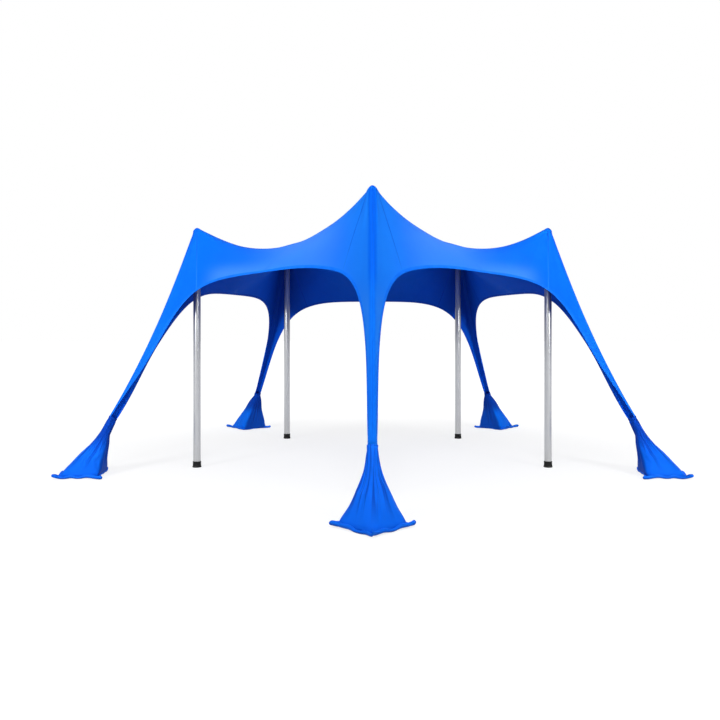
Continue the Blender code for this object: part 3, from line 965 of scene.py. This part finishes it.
# %% [markdown]
# ## Seams
# Two seams on each leg run from the pole's head to the hem, and one runs from each head to the
# middle of the roof. A ring of stitching closes the pocket over the pole. A cutter lays such
# seams straight, so each one is a straight line seen from above, dropped on the cloth.

# %% The seam tapes
def spline(knots, count):
    """A smooth curve through the knots, by Catmull and Rom's rule."""
    padded = np.vstack([2 * knots[0] - knots[1], knots, 2 * knots[-1] - knots[-2]])
    out = []
    for share in np.linspace(0.0, len(knots) - 1.0, count):
        i = min(int(share), len(knots) - 2)
        t = share - i
        a, b, c, d = padded[i:i + 4]
        square, cube = 2 * a - 5 * b + 4 * c - d, 3 * b - a - 3 * c + d
        out.append(0.5 * (2 * b + (c - a) * t + square * t**2 + cube * t**3))
    return np.array(out)


SEAM_ACROSS = (-0.0055, -0.002, 0.002, 0.0055)
SEAM_THICK = (0.0009, 0.0014, 0.0014, 0.0009)
SEAM_STEPS, SEAM_STEP = 90, 0.012
RIM_ACROSS, RIM_THICK, RIM_STEP = (-0.003, 0.0, 0.003), (0.0009, 0.0014, 0.0009), 0.008


def straight_seam(start, end):
    """A line that is straight seen from above, dropped on the cloth."""
    line = []
    for share in np.linspace(0.0, 1.0, SEAM_STEPS):
        x, y = start[:2] + (end[:2] - start[:2]) * share
        place, _, _, _ = skin.ray_cast(Vector((x, y, 3.0)), Vector((0.0, 0.0, -1.0)))
        if place is not None:
            line.append(place)
    return np.array(line)


def hem_end(grid, ray):
    """The outer end of a ray, which may lie between two of the net's rays."""
    low = int(ray)
    first, second = net.points[grid[low, -1]], net.points[grid[(low + 1) % RAYS, -1]]
    return first + (second - first) * (ray - low)


seam_strips = []
for corner, grid in enumerate(net.cells):
    peak = leg_point(corner, RING, 0.0, 0.0)
    leg_seam = LEG_SEAM[corner > 0]
    for ray in (leg_seam, HALF, RAYS - leg_seam):
        end = hem_end(grid, ray)
        aim = (end - peak) * (1.0, 1.0, 0.0)
        aim /= np.linalg.norm(aim)
        line = straight_seam(peak + aim * POCKET, end - aim * 0.008)
        seam_strips.append(tape(resampled(line, SEAM_STEP), SEAM_ACROSS, SEAM_THICK))
    rim = resampled(net.points[grid[:, 0]], RIM_STEP, closed=True)
    seam_strips.append(tape(rim, RIM_ACROSS, RIM_THICK, closed=True))
seam_tape = tapes("seam_tape", seam_strips, seam_cloth, shaded_tape_underside)
print(len(seam_strips), "seams,", len(seam_tape.data.polygons), "faces")

# %% [markdown]
# ## The cloth's thickness
# The sheet is 1.2 mm thick. Solidify adds the second skin, and its material offset gives
# that skin the darker cloth.

# %% Thickness, and what the canopy stands for
CLOTH = 0.0012


def belong(piece, slot, *nodes):
    """The piece rides on the one body and stands for these nodes. slot is not used."""
    if nodes:
        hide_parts(*nodes)
    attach(piece, "root")


# The second skin takes the darker lower cloth: painted shade on the face towards the ground
apply_modifier(canopy, "SOLIDIFY", thickness=CLOTH, offset=0.0, material_offset=1)
panels = [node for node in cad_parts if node.startswith(("leg_panel", "roof_panel", "peak_pocket"))]
belong(canopy, "roof_fabric", *panels)
belong(hem_tape, "roof_fabric")
belong(seam_tape, "leg_fabric")
print("canopy stands for", len(panels), "nodes")

# %% [markdown]
# ## Metal, rubber and plastic
# Drawn aluminium has fine lines along the tube and a satin gloss. Rubber is almost black, dull
# and dusty at its foot. Patterns that run along the tube are noise stretched along Z.

# %% Pole, foot and cap finishes
def aluminium():
    finish = Finish("satin_aluminium_drawn")
    lines = finish.noise(finish.stretched(finish.place, (1.0, 1.0, 0.012)), 620.0, 3.0, 0.6)
    clouds = finish.noise(finish.stretched(finish.place, (1.0, 1.0, 0.25)), 26.0, 3.0)
    marks = finish.noise(finish.place, 140.0, 4.0, 0.7).step(0.66, 0.74)
    _, _, height = finish.split(finish.place)
    dust = (1.0 - height.step(0.06, 0.32)) * clouds
    finish.paint(finish.blend(lines.step(0.3, 0.7), (0.47, 0.48, 0.50), (0.56, 0.57, 0.59)),
                 (marks * 0.25, (0.34, 0.345, 0.36)), (dust * 0.3, (0.50, 0.47, 0.42)))
    rough = 0.26 + lines * 0.05 + clouds * 0.04 + dust * 0.25
    return finish.surface(Metallic=0.85, Roughness=rough, Normal=finish.bump(lines, 0.00002, 0.4))


def rubber():
    finish = Finish("black_rubber_moulded")
    grain = finish.noise(finish.place, 900.0, 3.0, 0.6)
    scuff = finish.noise(finish.place, 60.0, 4.0, 0.65)
    _, _, height = finish.split(finish.place)
    dusty = (1.0 - height.step(0.002, 0.022)) * scuff
    finish.paint(finish.blend(scuff.step(0.4, 0.8), (0.005, 0.005, 0.0055), (0.013, 0.013, 0.014)),
                 (dusty * 0.3, (0.11, 0.10, 0.09)))
    normal = finish.bump(grain + scuff * 0.5, 0.00015, 0.5)
    return finish.surface(Roughness=0.46 + scuff * 0.22, Normal=normal, Specular_IOR_Level=0.2)


def plastic():
    finish = Finish("black_plastic_moulded")
    grain = finish.noise(finish.place, 700.0, 2.0)
    scuff = finish.noise(finish.place, 90.0, 4.0, 0.6)
    finish.paint(finish.blend(scuff.step(0.4, 0.8), (0.020, 0.020, 0.021), (0.045, 0.045, 0.047)))
    return finish.surface(Roughness=0.42 + scuff * 0.15, Normal=finish.bump(grain, 0.0001, 0.4))


pole_look, foot_look, cap_look = aluminium(), rubber(), plastic()
for name in CORNERS:
    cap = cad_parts["pole_cap_" + name]
    cap.data.materials.clear()
    cap.data.materials.append(cap_look)
print("hard finishes:", pole_look.name, foot_look.name, cap_look.name)

# %% [markdown]
# ## Poles
# Each pole is one straight tube. It starts as a cylinder with 64 sides. In edit mode its two
# ends are inset by the wall and pushed in to make the bore, and the rims get a small bevel.
# The side pole is modelled once and copied to four corners, and the front one is longer.

# %% Poles
POLE_RADIUS, POLE_WALL, BORE = 0.03175, 0.002, 0.05


def select_faces(piece, wanted):
    bpy.ops.object.mode_set(mode="OBJECT")
    for part in (*piece.data.vertices, *piece.data.edges):
        part.select = False
    for face in piece.data.polygons:
        face.select = bool(wanted(face))
    bpy.ops.object.mode_set(mode="EDIT")


def make_pole(bottom, top):
    deselect()
    bpy.ops.mesh.primitive_cylinder_add(vertices=64, radius=POLE_RADIUS, depth=top - bottom,
                                        location=(0.0, 0.0, (top + bottom) / 2))
    pole = bpy.context.object
    bpy.ops.object.mode_set(mode="EDIT")
    bpy.ops.mesh.select_mode(type="FACE")
    select_faces(pole, lambda face: abs(face.normal.z) > 0.9)
    bpy.ops.mesh.inset(thickness=POLE_WALL)
    bpy.ops.mesh.extrude_region_shrink_fatten(TRANSFORM_OT_shrink_fatten={"value": -BORE})
    bpy.ops.object.mode_set(mode="OBJECT")
    bpy.ops.object.transform_apply(location=True, rotation=True, scale=True)
    apply_modifier(pole, "BEVEL", width=0.0005, segments=2, limit_method="ANGLE",
                   angle_limit=radians(60.0))
    bpy.ops.object.shade_smooth_by_angle(angle=radians(40.0))
    pole.data.materials.append(pole_look)
    return pole


def copied(piece, name, change):
    """A twin with its own mesh, moved or mirrored. Mirrored faces are turned the right way out again."""
    twin = piece.copy()
    twin.data = piece.data.copy()
    twin.data.transform(change)
    if change.determinant() < 0.0:
        twin.data.flip_normals()
    twin.name = twin.data.name = name
    bpy.context.scene.collection.objects.link(twin)
    return twin


def to_corner(corner):
    return Matrix.Translation(Vector(leg_point(corner, RING, 0.0, 0.0)))


low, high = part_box("pole_left")
side_pole = make_pole(low.z, high.z)
low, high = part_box("pole_front")
front_pole = make_pole(low.z, high.z)
for corner, name in enumerate(CORNERS):
    pole = copied(side_pole if corner else front_pole, "tube_" + name, to_corner(corner))
    belong(pole, "satin_aluminium", "pole_" + name)
for spare in (side_pole, front_pole):
    bpy.data.objects.remove(spare)
print("poles", round(high.z - low.z, 3), "m at the front")

# %% [markdown]
# ## Rubber feet
# Each pole stands in a moulded rubber foot: a wide ring on the ground, a waist with two grooves,
# and a rolled collar round the tube. A turned part like this is drawn as half a section. Each
# step extrudes the top of the shape by a height and scales it to the next radius.

# %% Feet
CUP = POLE_RADIUS + 0.0003
# Radius and height of each step, up the outside and down the inside
FOOT_STEPS = ((0.0352, 0.0), (0.0365, 0.0012), (0.0380, 0.0016), (0.0393, 0.0030), (0.0395, 0.0055),
              (0.0390, 0.0075), (0.0376, 0.0100), (0.0364, 0.0150), (0.0358, 0.0200), (0.0356, 0.0240),
              (0.0346, 0.0246), (0.0346, 0.0262), (0.0355, 0.0268), (0.0354, 0.0320), (0.0344, 0.0326),
              (0.0344, 0.0342), (0.0353, 0.0348), (0.0352, 0.0430), (0.0357, 0.0450), (0.0360, 0.0475),
              (0.0358, 0.0503), (0.0350, 0.0523), (0.0338, 0.0530), (0.0327, 0.0524), (CUP, 0.0510),
              (CUP, 0.0104), (0.0300, 0.0100))


def turned(name, steps, sides, look):
    """A closed turned shape: the first step is its bottom, and each next one extrudes the top."""
    deselect()
    radius, height = steps[0]
    bpy.ops.mesh.primitive_circle_add(vertices=sides, radius=radius, fill_type="NGON",
                                      location=(0.0, 0.0, height))
    piece = bpy.context.object
    piece.name = name
    bpy.ops.object.transform_apply(location=True, rotation=True, scale=True)
    bpy.ops.object.mode_set(mode="EDIT")
    bpy.ops.mesh.select_mode(type="FACE")
    bpy.ops.mesh.select_all(action="SELECT")
    for (before, low), (after, high) in zip(steps, steps[1:]):
        bpy.ops.mesh.extrude_region_move(TRANSFORM_OT_translate={"value": (0.0, 0.0, high - low)})
        share = after / before
        bpy.ops.transform.resize(value=(share, share, 1.0), center_override=(0.0, 0.0, high))
    bpy.ops.mesh.select_all(action="SELECT")
    bpy.ops.mesh.normals_make_consistent(inside=False)
    bpy.ops.object.mode_set(mode="OBJECT")
    bpy.ops.object.shade_smooth_by_angle(angle=radians(32.0))
    piece.data.materials.append(look)
    return piece


foot = turned("foot", FOOT_STEPS, 72, foot_look)
for corner, name in enumerate(CORNERS):
    made = copied(foot, "foot_" + name, to_corner(corner))
    belong(made, "black_rubber", "pole_foot_" + name)
bpy.data.objects.remove(foot)
print("feet of", len(made.data.polygons), "faces each")

# %% [markdown]
# ## Sand bags
# Each leg ends in a bag that is filled with sand on the spot: a square foot, four sides that
# narrow to the neck, and gathers that run down from the neck. The bag is lofted from rings that
# change from a rounded square to the oval of the neck. Cloth simulation then fills it.

# %% The bag's rings
BAG_HALF, BAG_ROUND, BAG_RISE = (0.155, 0.155, 0.162, 0.162, 0.155), 112, 34
# Place along and across the leg and turn of the front, side and back bags
BAG_PLACES = ((1.586 * RING, 0.0, 0.0), (1.581 * RING, -0.060 * RING, 32.0),
              (1.680 * RING, 0.050 * RING, 45.0))
# Share of the bag's height, and its width there as a share of the foot's
BAG_LEVELS = ((0.0, 1.0), (0.05, 0.985), (0.14, 0.895), (0.27, 0.735), (0.42, 0.575),
              (0.58, 0.430), (0.74, 0.320), (0.88, 0.250), (1.0, 0.225))
BACK_LEVELS = ((0.0, 1.0), (0.05, 0.98), (0.14, 0.900), (0.27, 0.800), (0.42, 0.670),
               (0.58, 0.540), (0.74, 0.445), (0.88, 0.350), (1.0, 0.225))
BAG_FLOOR, NECK_EASE, FOLD_DEPTH = 0.0045, 0.0014, 0.058
# How far up the leg the sleeve climbs past the neck, and how much wider than the neck it is
NECK_SLEEVE = ((0.006, 0.0), (0.013, 0.0004), (0.0145, -0.0006), (0.013, -0.0016),
               (0.004, -0.0018), (-0.006, -0.0030))


def bag_place(corner):
    along, across, turn = BAG_PLACES[(0, 1, 2, 2, 1)[corner]]
    side = 1.0 if corner in (1, 2) else -1.0
    return leg_point(corner, along, side * across, 0.0), corner_angle(corner) - side * radians(turn)


def flat_turn(angles):
    return np.stack([np.cos(angles), np.sin(angles), np.zeros_like(angles)], 1)


def neck_oval(corner, grow, angles):
    """The oval of the leg's end, turned as the leg is; grow makes it wider all round."""
    twist = leg_turn(corner, 0.0)
    around = angles - corner_angle(corner) + twist
    over = (NECK_DEPTH / 2 + NECK_EASE + grow) * np.cos(around)
    aside = (NECK_WIDTH + NECK_EASE + grow) * np.sin(around)
    return np.array([in_leg(corner, NECK_REACH, NECK_HEIGHT, NECK_DEPTH / 2 + o, a, 0.0)
                     for o, a in zip(over, aside)])


def bag_rings(corner):
    base, square = bag_place(corner)
    angles = tau * np.arange(BAG_ROUND) / BAG_ROUND
    seen = angles + square + pi / 4
    random = np.random.default_rng(31 + corner)
    folds = np.zeros(BAG_ROUND)
    for waves in (9, 13, 17, 21):
        folds += random.uniform(0.5, 1.0) * np.cos(waves * angles + random.uniform(0.0, tau)) / 2.2
    oval = neck_oval(corner, 0.0, seen)
    neck = in_leg(corner, NECK_REACH, NECK_HEIGHT, NECK_DEPTH / 2, 0.0, 0.0)
    levels = BACK_LEVELS if corner in (2, 3) else BAG_LEVELS
    table = spline(np.array([(rise, spread, 0.0) for rise, spread in levels]), BAG_RISE)
    rings = []
    for rise, spread, _ in table:
        middle = base + (neck - base) * rise
        middle[2] = BAG_FLOOR + rise * (neck[2] - BAG_FLOOR)
        sharp = 2.0 + 22.0 * (1.0 - rise)**2
        reach = (np.abs(np.cos(angles))**sharp + np.abs(np.sin(angles))**sharp)**(-1.0 / sharp)
        fade = smoothstep(0.06, 0.45, rise) * (1.0 - smoothstep(0.86, 1.0, rise))
        reach *= BAG_HALF[corner] * spread * (1.0 + FOLD_DEPTH * folds * fade)
        ring = middle + flat_turn(seen) * reach[:, None]
        share = smoothstep(0.66, 1.0, rise)
        rings.append(ring * (1.0 - share) + oval * share)
    up_the_leg = leg_point(corner, -LEG_DOWN[0], 0.0, -LEG_DOWN[2]) - CENTRE
    for climb, grow in NECK_SLEEVE:
        rings.append(neck_oval(corner, grow, seen) + up_the_leg * climb)
    return np.array(rings)


rings = bag_rings(4)
print("left bag:", np.ptp(rings[0], axis=0).round(3), "m wide and", rings[..., 2].max().round(3), "m high")

# %% [markdown]
# The rings become one closed mesh with the two maps that the knit reads. During the filling the
# foot and the neck are pinned. Sand pushes outwards like a low pressure, and the cloth is cut a
# little larger than the shape it has to cover, so it wrinkles where it has room. The movement
# is capped, which keeps the bag in the space of its solid.

# %% Loft and fill
def patch(ring):
    """A square grid of points inside a closed ring: its index table, and the new points."""
    side = len(ring) // 4
    table = np.full((side + 1, side + 1), -1)
    span = np.arange(side)
    table[span, 0], table[side, span] = span, side + span
    table[side - span, side], table[0, side - span] = 2 * side + span, 3 * side + span
    inner = []
    for i in range(1, side):
        for j in range(1, side):
            u, v = i / side, j / side
            edges = ((i, 0), (i, side), (0, j), (side, j))
            south, north, west, east = (ring[table[a, b]] for a, b in edges)
            corners = [ring[table[a, b]] for a, b in ((0, 0), (side, 0), (0, side), (side, side))]
            weights = ((1 - u) * (1 - v), u * (1 - v), (1 - u) * v, u * v)
            point = (1 - v) * south + v * north + (1 - u) * west + u * east
            table[i, j] = len(ring) + len(inner)
            inner.append(point - sum(w * c for w, c in zip(weights, corners)))
    return table, np.array(inner)


def grid_faces(table, first, rest, inside_out):
    """Faces of a patch. Its ring starts at the index first, and its new points at the index rest."""
    count = 4 * (table.shape[0] - 1)
    where = np.where(table < count, table + first, table - count + rest)
    faces = []
    for i in range(table.shape[0] - 1):
        for j in range(table.shape[1] - 1):
            face = [where[i, j], where[i + 1, j], where[i + 1, j + 1], where[i, j + 1]]
            faces.append(face[::-1] if inside_out else face)
    return faces


def shell(name, rings, caps, weave_at, pull_at, look):
    """A mesh of closed rings. caps names the rings that a patch closes, and whether it faces down."""
    count, around = rings.shape[:2]
    points = rings.reshape(-1, 3)
    faces, weave, pull = [], [], []
    for ring in range(count - 1):
        for step in range(around):
            spots = ((step, ring), (step + 1, ring), (step + 1, ring + 1), (step, ring + 1))
            faces.append([r * around + s % around for s, r in spots])
            weave += [weave_at(s, r) for s, r in spots]
            pull += [pull_at(s, r) for s, r in spots]
    for ring, inside_out in caps:
        table, inner = patch(rings[ring])
        capped = grid_faces(table, ring * around, len(points), inside_out)
        points = np.vstack([points, inner])
        faces += capped
        weave += [tuple(points[i][:2]) for face in capped for i in face]
        pull += [(0.1, 2.0)] * (4 * len(capped))
    return cloth_mesh(name, points, faces, {"weave": weave, "pull": pull}, [look])


def fill_with_sand(bag, pinned, pressure=2.5, frames=16, most=0.009):
    start = coordinates(bag.data)
    bag.vertex_groups.new(name="sewn").add([int(i) for i in pinned], 1.0, "REPLACE")
    modifier = bag.modifiers.new("Fill", "CLOTH")
    soft = modifier.settings
    soft.quality = 5
    soft.mass = 0.3
    soft.tension_stiffness = soft.compression_stiffness = 15.0
    soft.bending_stiffness = 0.4
    soft.vertex_group_mass = "sewn"
    soft.use_pressure = True
    soft.uniform_pressure_force = pressure
    soft.shrink_min = -0.045
    soft.effector_weights.gravity = 0.0
    modifier.point_cache.frame_start, modifier.point_cache.frame_end = 1, frames
    for step in range(1, frames + 1):
        bpy.context.scene.frame_set(step)
    seen = bag.evaluated_get(bpy.context.evaluated_depsgraph_get()).data
    moved = coordinates(seen) - start
    reach = np.linalg.norm(moved, axis=1)
    moved *= (most * np.tanh(reach / most) / np.maximum(reach, 1e-9))[:, None]
    bag.modifiers.remove(modifier)
    bpy.context.scene.frame_set(1)
    move_points(bag.data, start + moved)
    return np.linalg.norm(moved, axis=1).max()


print("the neck's oval is", round(2000 * (NECK_WIDTH + NECK_EASE), 1), "mm wide")

# %% [markdown]
# The front bag and the two on the left are filled one by one. The two on the right are mirror
# images of those on the left, as the shelter's two halves are.

# %% Bags
bag_knit, ground = canopy_cloth("knit_bag", (0.0008, 0.104, 0.72), (0.0014, 0.124, 0.81),
                                (0.0040, 0.150, 0.88), 0.45, 0.30, 0.04)
x, y, height = bag_knit.split(bag_knit.place)
pull = bag_knit.uv("pull")
around = bag_knit.split(pull)[0]
beside = x.size().step(0.5, 0.9)
crease_shade = bag_knit.noise(bag_knit.stretched(pull, (46.0, 0.5, 1.0)), 1.0, 2.0, 0.6).step(0.50, 0.60)
inner = (1.0 - (around - 0.375).size().step(0.050, 0.066)) * beside
CREASE_SHADE = (0.0006, 0.046, 0.44)
bag_knit.paint(ground,
               # Painted shade in the crease lines, further down the bag
               (crease_shade * height.step(0.03, 0.22) * 0.85, CREASE_SHADE),
               # Painted light on the lower part of the back bags
               (y.step(0.3, 0.8) * (1.0 - height.step(0.20, 0.40)) * 0.8, (0.001, 0.172, 0.98)),
               # Painted shade on the face of each side and back bag that is turned inwards
               (inner * 0.75, CREASE_SHADE),
               # Painted shade at the foot of every bag, where it meets its flap
               ((1.0 - height.step(0.014, 0.05)) * 0.5, (0.0006, 0.050, 0.46)),
               # Painted shade over the upper part of the side and back bags, towards the neck
               (beside * height.step(0.19, 0.33) * 0.92, (0.0006, 0.045, 0.42)))
MIRROR = Matrix.Diagonal((-1.0, 1.0, 1.0, 1.0))


def both_halves(make):
    """The pieces of three corners, and the right ones as mirror images of the left ones."""
    pieces = {corner: make(corner) for corner in (0, 3, 4)}
    for corner, twin in ((2, 3), (1, 4)):
        title = pieces[twin].name.replace(CORNERS[twin], CORNERS[corner])
        pieces[corner] = copied(pieces[twin], title, MIRROR)
    return pieces


def make_bag(corner):
    rings = bag_rings(corner)
    lengths = run_lengths(rings, 0)[:, 0]
    bag = shell("filled_bag_" + CORNERS[corner], rings, ((0, True), (len(rings) - 1, False)),
                lambda step, ring: (step / BAG_ROUND, lengths[ring]),
                lambda step, ring: (step / BAG_ROUND * 0.5 + 0.25, (lengths[-1] - lengths[ring]) * 2.2),
                bag_knit.material)
    fixed = list(range(2 * BAG_ROUND)) + list(range((BAG_RISE - 2) * BAG_ROUND, len(bag.data.vertices)))
    print(CORNERS[corner], "bag moved by", round(1000 * fill_with_sand(bag, fixed), 1), "mm at most")
    bag.vertex_groups.clear()
    apply_modifier(bag, "SUBSURF", levels=1, render_levels=1)
    return bag


bags = both_halves(make_bag)
for corner, bag in bags.items():
    belong(bag, "bag_fabric", "sandbag_" + CORNERS[corner])
print("bags of", len(bags[0].data.polygons), "faces each")

# %% [markdown]
# ## Base flaps
# Under each bag lies a square of the same cloth. Its edge is rolled in and sewn, and it runs
# out into an ear at each corner. The edge doesn't lie flat: it waves, and the ears lift. The
# square is a polar grid whose last rings curl up into the roll.

# %% Flaps
FLAP_OVER, ROLL, FLAP = 0.018, 0.0130, 0.0015
FLAP_SIDE, FLAP_EAR, ROLL_STEPS = 16, 12, 12
ROLL_TURN, ROLL_WAVE = radians(300.0), 0.30
FLAP_LIFT, FLAP_WAVE = 0.0035, 0.0060
# The reach, the lift and half the width of every ear, corner by corner.
EARS = {0: ((0.268, 0.010, 0.030), (0.268, 0.014, 0.030), (0.268, 0.008, 0.030), (0.268, 0.014, 0.030)),
        3: ((0.288, 0.004, 0.030), (0.262, 0.006, 0.030), (0.288, 0.004, 0.030), (0.262, 0.006, 0.030)),
        4: ((0.266, 0.015, 0.030), (0.306, -0.016, 0.055), (0.240, 0.010, 0.030), (0.238, -0.016, 0.030))}


def flap_outline(square, half, ears):
    """Points of the outline, their outward directions, and how high each one lifts."""
    points, lifts = [], []
    for quarter, (reach, lift, wide) in enumerate(ears):
        straight, following = half * sqrt(2.0) - wide, ears[(quarter + 1) % 4][2]
        angle = square + quarter * pi / 2
        out, aside = flat_turn(np.array([angle, angle + pi / 2]))
        for share in np.linspace(-1.0, 1.0, FLAP_EAR):
            bend = 1.0 - abs(share)**2.4
            width = wide * share * (1.0 - 0.25 * bend)
            points.append(out * (straight + (reach - straight) * bend) + aside * width)
            lifts.append(lift * bend**1.5)
        begin = out * straight + aside * wide
        after = flat_turn(np.array([angle + pi / 2, angle + pi]))
        end = after[0] * (half * sqrt(2.0) - following) - after[1] * following
        for share in np.linspace(0.0, 1.0, FLAP_SIDE + 2)[1:-1]:
            points.append(begin + (end - begin) * share)
            lifts.append(0.0)
    points, lifts = np.array(points), np.array(lifts)
    for _ in range(3):
        points = 0.5 * points + 0.25 * (np.roll(points, 1, axis=0) + np.roll(points, -1, axis=0))
        lifts = 0.5 * lifts + 0.25 * (np.roll(lifts, 1) + np.roll(lifts, -1))
    along = np.roll(points, -1, axis=0) - np.roll(points, 1, axis=0)
    outward = np.stack([along[:, 1], -along[:, 0], np.zeros(len(points))], 1)
    return points, outward / np.linalg.norm(outward, axis=1)[:, None], lifts


flap_knit, ground = canopy_cloth("knit_flap", (0.0010, 0.115, 0.76), (0.0016, 0.135, 0.84),
                                 (0.0040, 0.160, 0.90), 0.30, 0.30, 0.08)
height = flap_knit.split(flap_knit.place)[2]
# Painted shade on the flap's lowest part, under its roll
flap_knit.paint(ground, ((1.0 - height.step(0.003, 0.016)) * 0.80, (0.0005, 0.036, 0.34)))


def make_flap(corner):
    base, square = bag_place(corner)
    outline, outward, lifts = flap_outline(square, BAG_HALF[corner] + FLAP_OVER, EARS[corner])
    count = len(outline)
    turn = tau * np.arange(count) / count
    random = np.random.default_rng(71 + corner)
    wave = sum(random.uniform(0.4, 1.0) * np.cos(n * turn + random.uniform(0.0, tau))
               for n in (3, 5, 8, 13)) / 2.2
    roll = ROLL * (1.0 + ROLL_WAVE * wave)[:, None]
    lift = np.maximum(FLAP_LIFT + FLAP_WAVE * wave + lifts, 0.0)[:, None]
    heart = outline - outward * roll
    up = np.array((0.0, 0.0, 1.0))
    rings = []
    for step in range(ROLL_STEPS, 0, -1):
        angle = -pi / 2 + ROLL_TURN * step / ROLL_STEPS
        size = roll * (1.0 - 0.15 * step / ROLL_STEPS)
        rise = FLAP / 2 + lift + size * (1.0 + sin(angle))
        rings.append(heart + outward * size * cos(angle) + up * rise)
    for share in (1.0, 0.92, 0.80, 0.66):
        rings.append(heart * share + up * (FLAP / 2 + lift * smoothstep(0.80, 1.0, share)))
    rings = np.array(rings)
    rings[..., :2] += base[:2]
    lengths = run_lengths(rings, 0)[:, 0]
    return shell("bag_flap_" + CORNERS[corner], rings, ((len(rings) - 1, False),),
                 lambda step, ring: (step * 0.0115, lengths[ring]),
                 lambda step, ring: (step / count, 3.0 * lengths[ring]), flap_knit.material)


flaps = both_halves(make_flap)
for corner, flap in flaps.items():
    apply_modifier(flap, "SOLIDIFY", thickness=FLAP, offset=0.0)
    apply_modifier(flap, "SUBSURF", levels=1, render_levels=1)
    belong(flap, "base_fabric", "bag_base_" + CORNERS[corner])

# %% [markdown]
# ## Size
# The visible model has to stay inside the box of the solids, but for a little that cloth stands
# proud. How far it has grown past that box on each side is printed.

# %% Both boxes
boxes = [[[float(x) for x in corner] for corner in box] for box in (cad_box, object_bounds())]
print("grown by, mm:", [[round(1000 * (b - a), 1) for a, b in zip(*pair)] for pair in zip(*boxes)])
